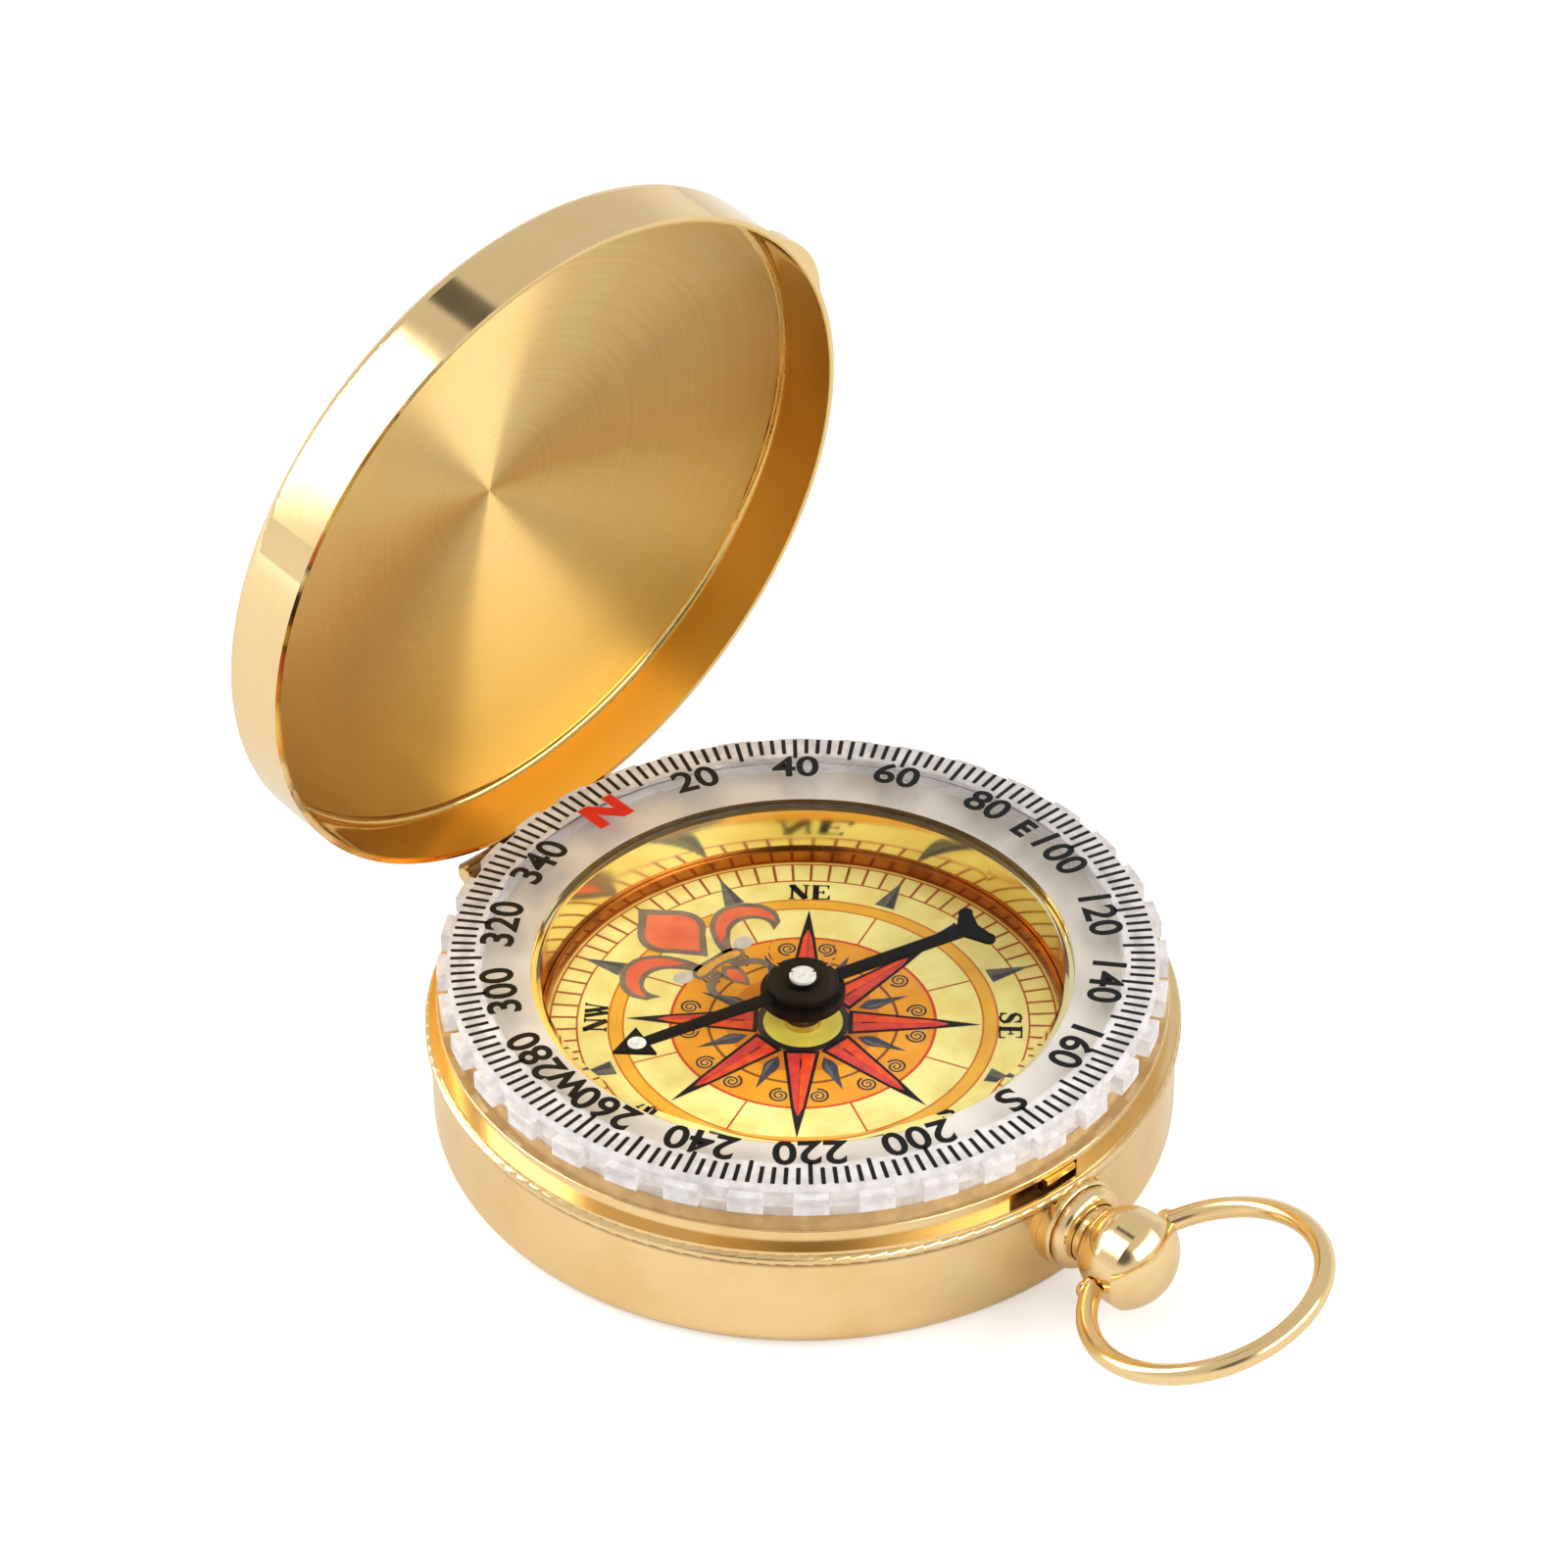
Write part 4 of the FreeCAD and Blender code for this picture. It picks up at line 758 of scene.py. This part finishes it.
# Degrees every twenty with the four letters between them, tops outward.
def makeScale():
    marks = [
        scaleText(str(degrees), degrees, scale["size"], scale["stretch"], scale["bold"])
        for degrees in range(20, 360, 20) if degrees != 180
    ]
    marks.append(scaleText("S", 180, scale["size"], scale["southStretch"], scale["bold"]))
    for letter, degrees in (("E", 90), ("W", 270)):
        marks.append(scaleText(letter, degrees, scale["capitalSize"], 1.0, scale["capitalBold"]))
    numerals = joinPieces(marks, "scaleNumerals")
    finishPrint(numerals, "scaleNumerals", scale["ink"], "bezel", scale["bearing"])
    outline = sharp(*((across, along + scale["northFoot"]) for across, along in scale["north"]))
    north = flatShape("north", [outline], scale["top"], scale["thick"])
    finishPrint(north, "scaleNorth", scale["redInk"], "bezel", scale["bearing"])


# One tick, a slim slab with its corners taken off.
def makeTick(ends, bearing, width, low, thick):
    start, end = ends
    half, chamfer = width / 2, width * tickChamfer
    loop = sharp(
        (-half, start + chamfer), (-half + chamfer, start),
        (half - chamfer, start), (half, start + chamfer),
        (half, end - chamfer), (half - chamfer, end),
        (-half + chamfer, end), (-half, end - chamfer),
    )
    return turnTo(flatShape("tick", [loop], low, thick), bearing)


# One long tick and the short ones after it, copied all round.
def makeTicks():
    group = []
    for step in range(scale["ticksInGroup"]):
        ends = scale["shortTick"] if step else scale["longTick"]
        bearing = scale["tickDegrees"] * step
        group.append(makeTick(ends, bearing, scale["tickWidth"], scale["top"], scale["thick"]))
    count = 360 // (scale["tickDegrees"] * scale["ticksInGroup"])
    ticks = spinCopies(joinPieces(group, "scaleTicks"), count)
    finishPrint(ticks, "scaleTicks", scale["ink"], "bezel", scale["bearing"])


paint = {
    "sides": 240,
    "inner": 18.12,
    "outer": 22.15,
    "under": 11.48,
    "thick": 0.02,
    "metallic": 0.3,
    "light": colour(228, 220, 209),
    "deep": colour(212, 202, 188),
    "inkSize": 5.0,
    "flakeScale": 16.0,
    "flakeDetail": 2.0,
    "flakeSpan": (0.55, 0.7),
    "flakeShare": 0.3,
    "flake": colour(240, 235, 228),
}


def makePaintFinish():
    material, tree, shader, spot = startMaterial("scalePaint", Metallic=paint["metallic"])
    grain = useGroup(
        tree, inkGrain, Vector=spot, Light=paint["light"], Deep=paint["deep"], Size=paint["inkSize"]
    )
    flakes = noise(tree, spot, paint["flakeScale"], paint["flakeDetail"])
    flakes = between(tree, flakes, *paint["flakeSpan"])
    glint = sums(tree, "MULTIPLY", flakes, paint["flakeShare"])
    feed(tree, shader.inputs["Base Color"], blendColour(tree, glint, grain["Color"], paint["flake"]))
    feed(tree, shader.inputs["Roughness"], grain["Roughness"])
    return material


# The flange is sprayed silver underneath, round its clear window.
def makePaint():
    middle = (0, 0, paint["under"])
    bpy.ops.mesh.primitive_circle_add(
        vertices=paint["sides"], radius=paint["inner"], location=middle
    )
    ring = bpy.context.object
    bpy.ops.object.mode_set(mode="EDIT")
    bpy.ops.mesh.select_all(action="SELECT")
    bpy.ops.mesh.extrude_region_move()
    outwards = paint["outer"] / paint["inner"]
    bpy.ops.transform.resize(value=(outwards, outwards, 1), center_override=middle)
    bpy.ops.object.mode_set(mode="OBJECT")
    settle(ring)
    coat = ring.modifiers.new("coat", "SOLIDIFY")
    coat.thickness = paint["thick"]
    coat.offset = 0
    applyAll(ring)
    cleanMesh(ring)
    finishPrint(ring, "scalePaint", makePaintFinish(), "bezel")


makeScale()
makeTicks()
makePaint()
print("scale printed")

dial = {
    "bearing": 1.2,
    "top": 6.6,
    "step": 0.006,
    "levels": {"ground": 1, "form": 2, "fill": 3, "mark": 4},
    "points": 8,
    "turn": 45,
    "halfTurn": 22.5,
    "spike": [(-1.24, 3.05), (1.24, 3.05), (0.5, 8.9), (0, 11.95), (-0.5, 8.9)],
    "spikeLeft": [(-0.95, 3.35), (0, 3.35), (0, 9.8), (-0.297, 8.9)],
    "spikeRight": [(0.03, 3.35), (0.95, 3.35), (0.297, 8.9), (0.03, 9.8)],
    "spikeMark": [(-0.07, 3.95), (0.07, 3.95), (0.05, 4.95), (-0.05, 4.95)],
    "leaf": [
        (0, 3.95, "corner"), (0.5, 4.95), (0.31, 5.95), (0, 7.6, "corner"), (-0.31, 5.95), (-0.5, 4.95),
    ],
    "leafShine": [(0.05, 4.45, "corner"), (0.3, 4.95), (0.08, 6.7, "corner")],
    "curl": {
        "middle": 7.78, "offset": 9.6, "radius": 0.7, "turns": 2.1, "closing": 0.86,
        "line": 0.16, "lineStart": 1.1, "lineFade": 0.4, "steps": 26,
    },
    "spoke": {"ends": (8.9, 12.05), "width": 0.13},
    "ladder": {"ends": (15.16, 17.0), "width": 0.19, "count": 80},
    "pointer": [(-0.72, 13.45), (0.72, 13.45), (0, 16.45)],
    "pointerShade": [(0.072, 13.57), (0.5904, 13.57), (0.04, 16.05)],
    "letters": {"foot": 13.15, "height": 1.55, "width": 1.4, "gap": 0.12, "bold": 1.35},
    "inkBlack": makeInkFinish("dialBlack", colour(14, 12, 22), colour(30, 26, 36), Specular_IOR_Level=0.2),
    "inkRed": makeInkFinish("dialRed", colour(222, 48, 28), colour(238, 92, 36), 0.8),
    "inkRose": makeInkFinish("dialRose", colour(190, 42, 52), colour(222, 72, 52), 0.8),
    "inkBlue": makeInkFinish("dialBlue", colour(44, 44, 62), colour(70, 68, 84), 0.5),
    "inkGrey": makeInkFinish("dialGrey", colour(110, 108, 100), colour(86, 84, 78), 0.6),
    "inkPale": makeInkFinish("dialPale", colour(232, 176, 84), colour(214, 152, 62), 0.4),
    "inkBrown": makeInkFinish("dialBrown", colour(78, 44, 22), colour(58, 32, 18), 0.5),
    "inkBrick": makeInkFinish("dialBrick", colour(178, 92, 42), colour(148, 62, 26), 1.5),
    "inkOrange": makeInkFinish("dialOrange", colour(206, 98, 34), colour(176, 66, 22), 1.5),
    "inkSalmon": makeInkFinish("dialSalmon", colour(238, 122, 78), colour(222, 88, 66), 2.0),
    "inkStone": makeInkFinish("dialStone", colour(140, 122, 108), colour(112, 92, 80), 1.2),
    "inkPaleSpot": makeInkFinish("dialPaleSpot", colour(216, 208, 198), colour(196, 186, 172), 0.6),
}


def layer(level):
    return dial["top"] + dial["levels"][level] * dial["step"]


def dialPrint(pieces, name, inkName):
    piece = finishPrint(joinPieces(pieces, name), name, dial[inkName], "case", dial["bearing"])
    return piece


def dialShape(name, loops, level, bearing=0.0):
    return turnTo(flatShape(name, loops, layer(level), dial["step"]), bearing)


# Seven long points, as the lily stands at north. Each is dark at its edges and tip,
# red on one side and rose on the other.
def makeSpikes():
    dark, red, rose, marks = [], [], [], []
    for number in range(1, dial["points"]):
        bearing = dial["turn"] * number
        dark.append(dialShape("dark", [sharp(*dial["spike"])], "form", bearing))
        red.append(dialShape("red", [sharp(*dial["spikeLeft"])], "fill", bearing))
        rose.append(dialShape("rose", [sharp(*dial["spikeRight"])], "fill", bearing))
        marks.append(dialShape("mark", [sharp(*dial["spikeMark"])], "mark", bearing))
    dialPrint(dark, "dialSpikeEdges", "inkBlack")
    dialPrint(red, "dialSpikeLeft", "inkRed")
    dialPrint(rose, "dialSpikeRight", "inkRose")
    dialPrint(marks, "dialSpikeMarks", "inkBlack")


# A shape halfway between two points, and its copies all round.
def betweenPoints(name, loop, level):
    return spinCopies(dialShape(name, [loop], level, dial["halfTurn"]), dial["points"])


def makeLeaves():
    dialPrint([betweenPoints("leaf", dial["leaf"], "form")], "dialLeaves", "inkBlue")
    dialPrint([betweenPoints("shine", dial["leafShine"], "fill")], "dialLeafShine", "inkGrey")


# The loop of a scroll that winds towards its middle and thins on the way.
def curlLoop(side):
    curl = dial["curl"]
    points, widths = [], []
    for step in range(curl["steps"] + 1):
        share = step / curl["steps"]
        angle = 2 * math.pi * curl["turns"] * share * side
        reach = curl["radius"] * (1 - curl["closing"] * share)
        points.append((reach * math.sin(angle), curl["middle"] - reach * math.cos(angle)))
        widths.append(curl["line"] * (curl["lineStart"] - curl["lineFade"] * share))
    return strokeLoop(points, widths)


# Small scrolls in pairs beside the points.
def makeCurls():
    curl = dial["curl"]
    discs, lines = [], []
    for side in (-1, 1):
        ring = roundLoop(0, curl["middle"], curl["radius"])
        discs.append(dialShape("disc", [ring], "ground", side * curl["offset"]))
        lines.append(dialShape("curl", [sharp(*curlLoop(side))], "form", side * curl["offset"]))
    dialPrint([spinCopies(joinPieces(discs, "discs"), dial["points"])], "dialCurlGrounds", "inkPale")
    dialPrint([spinCopies(joinPieces(lines, "lines"), dial["points"])], "dialCurls", "inkBrown")


def makeSpokes():
    spoke, ladder = dial["spoke"], dial["ladder"]
    line = makeTick(spoke["ends"], dial["halfTurn"], spoke["width"], layer("ground"), dial["step"])
    dialPrint([spinCopies(line, dial["points"])], "dialSpokes", "inkOrange")
    rung = makeTick(ladder["ends"], 0, ladder["width"], layer("ground"), dial["step"])
    dialPrint([spinCopies(rung, ladder["count"])], "dialLadder", "inkBrick")
    wedges = betweenPoints("wedge", sharp(*dial["pointer"]), "form")
    dialPrint([wedges], "dialPointers", "inkGrey")
    shades = betweenPoints("shade", sharp(*dial["pointerShade"]), "fill")
    dialPrint([shades], "dialPointerShades", "inkBlue")


# Roman capitals with serifs, each stroke as its points and widths in a unit box.
capitals = {
    "N": [
        ([(0.16, 0.02), (0.16, 0.98)], [0.08, 0.08]), ([(0.12, 0.98), (0.84, 0.02)], [0.22, 0.22]),
        ([(0.84, 0.02), (0.84, 0.98)], [0.08, 0.08]), ([(0.0, 0.03), (0.32, 0.03)], [0.06, 0.06]),
        ([(0.0, 0.97), (0.2, 0.97)], [0.06, 0.06]), ([(0.68, 0.97), (1.0, 0.97)], [0.06, 0.06]),
    ],
    "E": [
        ([(0.24, 0.0), (0.24, 1.0)], [0.2, 0.2]), ([(0.04, 0.97), (0.86, 0.97)], [0.06, 0.06]),
        ([(0.04, 0.03), (0.9, 0.03)], [0.06, 0.06]), ([(0.24, 0.5), (0.62, 0.5)], [0.06, 0.06]),
        ([(0.84, 1.0), (0.86, 0.72)], [0.09, 0.03]), ([(0.87, 0.0), (0.91, 0.3)], [0.1, 0.03]),
        ([(0.62, 0.38), (0.62, 0.62)], [0.06, 0.06]),
    ],
    "S": [
        (
            [(0.8, 0.7), (0.74, 0.88), (0.5, 0.96), (0.27, 0.88), (0.2, 0.73), (0.32, 0.58), (0.54, 0.49),
             (0.75, 0.38), (0.82, 0.22), (0.7, 0.08), (0.46, 0.03), (0.24, 0.1), (0.16, 0.3)],
            [0.05, 0.08, 0.08, 0.11, 0.15, 0.19, 0.2, 0.19, 0.15, 0.1, 0.08, 0.08, 0.05],
        ),
        ([(0.8, 0.66), (0.8, 0.98)], [0.05, 0.05]), ([(0.16, 0.02), (0.16, 0.34)], [0.05, 0.05]),
    ],
    "W": [
        ([(0.08, 1.0), (0.34, 0.0)], [0.18, 0.16]), ([(0.34, 0.0), (0.54, 0.86)], [0.07, 0.07]),
        ([(0.42, 1.0), (0.7, 0.0)], [0.18, 0.16]), ([(0.7, 0.0), (0.95, 1.0)], [0.07, 0.07]),
        ([(-0.04, 0.97), (0.24, 0.97)], [0.06, 0.06]), ([(0.32, 0.97), (0.6, 0.97)], [0.06, 0.06]),
        ([(0.84, 0.97), (1.06, 0.97)], [0.06, 0.06]),
    ],
}


def makeCapitals(word, bearing):
    row = dial["letters"]
    length = len(word) * row["width"] + (len(word) - 1) * row["gap"]
    strokes = []
    for number, letter in enumerate(word):
        left = number * (row["width"] + row["gap"]) - length / 2
        for points, widths in capitals[letter]:
            moved = [(left + x * row["width"], row["foot"] + y * row["height"]) for x, y in points]
            widened = [width * row["height"] * row["bold"] for width in widths]
            strokes.append(dialShape("stroke", [sharp(*strokeLoop(moved, widened))], "form", bearing))
    return strokes


# The lily that marks north: a lozenge petal, two side petals, a band with a pale round spot on each side,
# the foot and its roots.
fleur = {
    "petal": [
        (0, 16.6, "corner"), (0.9, 15.6), (2.3, 13.9), (2.35, 12.5), (1.35, 11.2),
        (0, 9.5, "corner"), (-1.35, 11.2), (-2.35, 12.5), (-2.3, 13.9), (-0.9, 15.6),
    ],
    "petalFill": [
        (0, 15.7, "corner"), (0.8, 14.9), (1.85, 13.7), (1.85, 12.6), (1.0, 11.5),
        (0, 10.3, "corner"), (-1.0, 11.5), (-1.85, 12.6), (-1.85, 13.7), (-0.8, 14.9),
    ],
    "side": [
        (0.9, 8.9, "corner"), (1.5, 10.6), (2.6, 12.1), (4.3, 12.7), (6.0, 11.8), (6.7, 10.1),
        (6.2, 8.9, "corner"), (5.2, 8.5, "corner"), (5.5, 9.6), (4.7, 10.6), (3.5, 10.7), (2.4, 9.9),
        (1.6, 8.7, "corner"),
    ],
    "sideFill": [
        (1.6, 10.0, "corner"), (2.7, 11.7), (4.3, 12.3), (5.7, 11.5), (6.3, 10.1),
        (5.95, 9.1, "corner"), (5.7, 10.0), (4.8, 11.0), (3.4, 11.1), (2.3, 10.3),
    ],
    "band": [
        (-2.0, 8.9), (0, 9.2), (2.0, 8.9), (2.2, 8.4), (2.0, 7.95), (0, 8.15), (-2.0, 7.95), (-2.2, 8.4),
    ],
    "bandFill": [
        (-1.8, 8.65), (0, 8.92), (1.8, 8.65), (1.9, 8.4), (1.8, 8.2), (0, 8.4), (-1.8, 8.2), (-1.9, 8.4),
    ],
    "foot": [
        (0, 8.1, "corner"), (0.75, 7.2), (0.55, 6.2), (0, 5.2, "corner"), (-0.55, 6.2), (-0.75, 7.2),
    ],
    "footFill": [
        (0, 7.6, "corner"), (0.45, 7.0), (0.35, 6.3), (0, 5.7, "corner"), (-0.35, 6.3), (-0.45, 7.0),
    ],
    "root": [
        (0.5, 8.0, "corner"), (1.5, 7.7), (2.5, 6.7), (2.3, 5.9), (1.9, 6.6), (1.1, 7.1),
        (0.6, 7.2, "corner"),
    ],
    "paleSpot": {"across": 2.75, "along": 8.95, "radius": 0.72, "squash": 0.85},
}


def mirrored(loop):
    return [(-entry[0], *entry[1:]) for entry in reversed(loop)]


def makeFleur():
    edges = [fleur[part] for part in ("petal", "side", "band", "foot", "root")]
    edges += [mirrored(fleur[part]) for part in ("side", "root")]
    dialPrint([dialShape("stone", [loop], "fill") for loop in edges], "dialLilyEdges", "inkStone")
    fills = (fleur["petalFill"], fleur["sideFill"], mirrored(fleur["sideFill"]), fleur["footFill"])
    dialPrint([dialShape("salmon", [loop], "mark") for loop in fills], "dialLilyPetals", "inkSalmon")
    dialPrint([dialShape("gilt", [fleur["bandFill"]], "mark")], "dialLilyBand", "inkPale")
    # pale round spots beside the band, drawn the same on both sides
    paleSpot = fleur["paleSpot"]
    paleSpots = []
    for side in (-1, 1):
        ring = roundLoop(side * paleSpot["across"], paleSpot["along"], paleSpot["radius"], paleSpot["squash"])
        paleSpots.append(dialShape("paleSpot", [ring], "mark"))
    dialPrint(paleSpots, "dialLilyPaleSpots", "inkPaleSpot")


makeSpokes()
makeCurls()
makeLeaves()
makeSpikes()
letters = []
for word, bearing in (("NE", 45), ("E", 90), ("SE", 135), ("S", 180), ("SW", 225), ("W", 270), ("NW", 315)):
    letters += makeCapitals(word, bearing)
dialPrint(letters, "dialLetters", "inkBlack")
makeFleur()
print("dial printed")

studio = {
    "floorSize": 1.6,
    "floorSink": 0.00001,
    "floorColour": (0.82, 0.82, 0.82, 1),
    "floorRoughness": 0.9,
    "floorLift": 0.42,
    "floorMirror": 0.06,
    "sky": 0.72,
    "skyFrom": 0.4,
    "horizon": 0.95,
    "shades": [
        {"elevation": 30, "bearing": -138, "inner": 0.985, "outer": 0.93, "level": 0.2},
        {"elevation": 62.5, "bearing": 2, "inner": 0.9985, "outer": 0.995, "level": 0.12},
    ],
    "lamps": {
        "leftBox": {"elevation": 34, "bearing": -40, "away": 0.8, "size": (0.42, 0.74), "watts": 3.4},
        "rightBox": {"elevation": 30, "bearing": 162, "away": 0.8, "size": (0.9, 0.27), "watts": 3.4},
    },
}
view = {
    "place": (-0.21060, -0.218861, 0.259143),
    "azimuth": -43.686,
    "elevation": 37.41,
    "roll": -0.56,
    "lens": 135.0,
    "sensor": 36.0,
    "near": 0.01,
    "far": 20,
}


# What a camera ray and a mirrored or refracted ray see here, on top of what is lit.
def seenLevel(tree, direct, mirrored):
    path = place(tree, "ShaderNodeLightPath").outputs
    mirror = sums(tree, "MAXIMUM", path["Is Glossy Ray"], path["Is Transmission Ray"])
    thrown = sums(tree, "MULTIPLY", mirror, mirrored)
    return sums(tree, "MULTIPLY_ADD", path["Is Camera Ray"], direct, thrown)


def makeFloor():
    bpy.ops.mesh.primitive_plane_add(size=studio["floorSize"], location=(0, 0, -studio["floorSink"]))
    floor = bpy.context.object
    floor.name = "floor"
    settle(floor)
    material = bpy.data.materials.new("floorWhite")
    material.use_nodes = True
    tree = material.node_tree
    shader = tree.nodes["Principled BSDF"]
    shader.inputs["Base Color"].default_value = studio["floorColour"]
    shader.inputs["Roughness"].default_value = studio["floorRoughness"]
    shader.inputs["Specular IOR Level"].default_value = 0.0
    shader.inputs["Emission Color"].default_value = (1, 1, 1, 1)
    seen = seenLevel(tree, studio["floorLift"], studio["floorMirror"])
    feed(tree, shader.inputs["Emission Strength"], seen)
    floor.data.materials.append(material)


# Pale sky for the gloss to mirror, with the dark shapes of the photographer and of a lamp's stand.
def makeSky():
    world = bpy.data.worlds.new("studioSky")
    bpy.context.scene.world = world
    world.use_nodes = True
    tree = world.node_tree
    backdrop = tree.nodes["Background"]
    heading = place(tree, "ShaderNodeTexCoord").outputs["Generated"]
    height = vectorSums(tree, "DOT_PRODUCT", heading, (0, 0, 1))
    level = between(tree, height, 0.0, studio["skyFrom"], studio["horizon"], studio["sky"], soft=True)
    for shade in studio["shades"]:
        rise = math.radians(shade["elevation"])
        towards = outward(shade["bearing"], math.cos(rise), math.sin(rise))
        near = vectorSums(tree, "DOT_PRODUCT", heading, towards)
        dark = between(tree, near, shade["outer"], shade["inner"], 1.0, shade["level"], soft=True)
        level = sums(tree, "MULTIPLY", level, dark)
    white = seenLevel(tree, 1.0, 0.0)
    feed(tree, backdrop.inputs["Color"], (1, 1, 1, 1))
    feed(tree, backdrop.inputs["Strength"], sums(tree, "MAXIMUM", level, white))


def makeLamps():
    for name, lamp in studio["lamps"].items():
        level, bearing = math.radians(lamp["elevation"]), lamp["bearing"]
        spot = outward(bearing, math.cos(level), math.sin(level)) * lamp["away"]
        turn = spot.to_track_quat("Z", "Y").to_euler()
        bpy.ops.object.light_add(type="AREA", location=spot, rotation=turn)
        light = bpy.context.object
        light.name = name
        light.data.shape = "RECTANGLE"
        light.data.size, light.data.size_y = lamp["size"]
        light.data.energy = lamp["watts"]
        light.visible_camera = False


def makeCamera():
    turn = Euler((math.radians(90 - view["elevation"]), 0, math.radians(view["azimuth"]))).to_matrix()
    turn = turn @ Matrix.Rotation(math.radians(view["roll"]), 3, "Z")
    bpy.ops.object.camera_add(location=view["place"], rotation=turn.to_euler())
    camera = bpy.context.object
    camera.data.lens = view["lens"]
    camera.data.sensor_width = view["sensor"]
    camera.data.clip_start = view["near"]
    camera.data.clip_end = view["far"]
    bpy.context.scene.camera = camera


makeFloor()
makeSky()
makeLamps()
makeCamera()
bpy.context.scene.view_settings.view_transform = "Standard"
print("studio set")
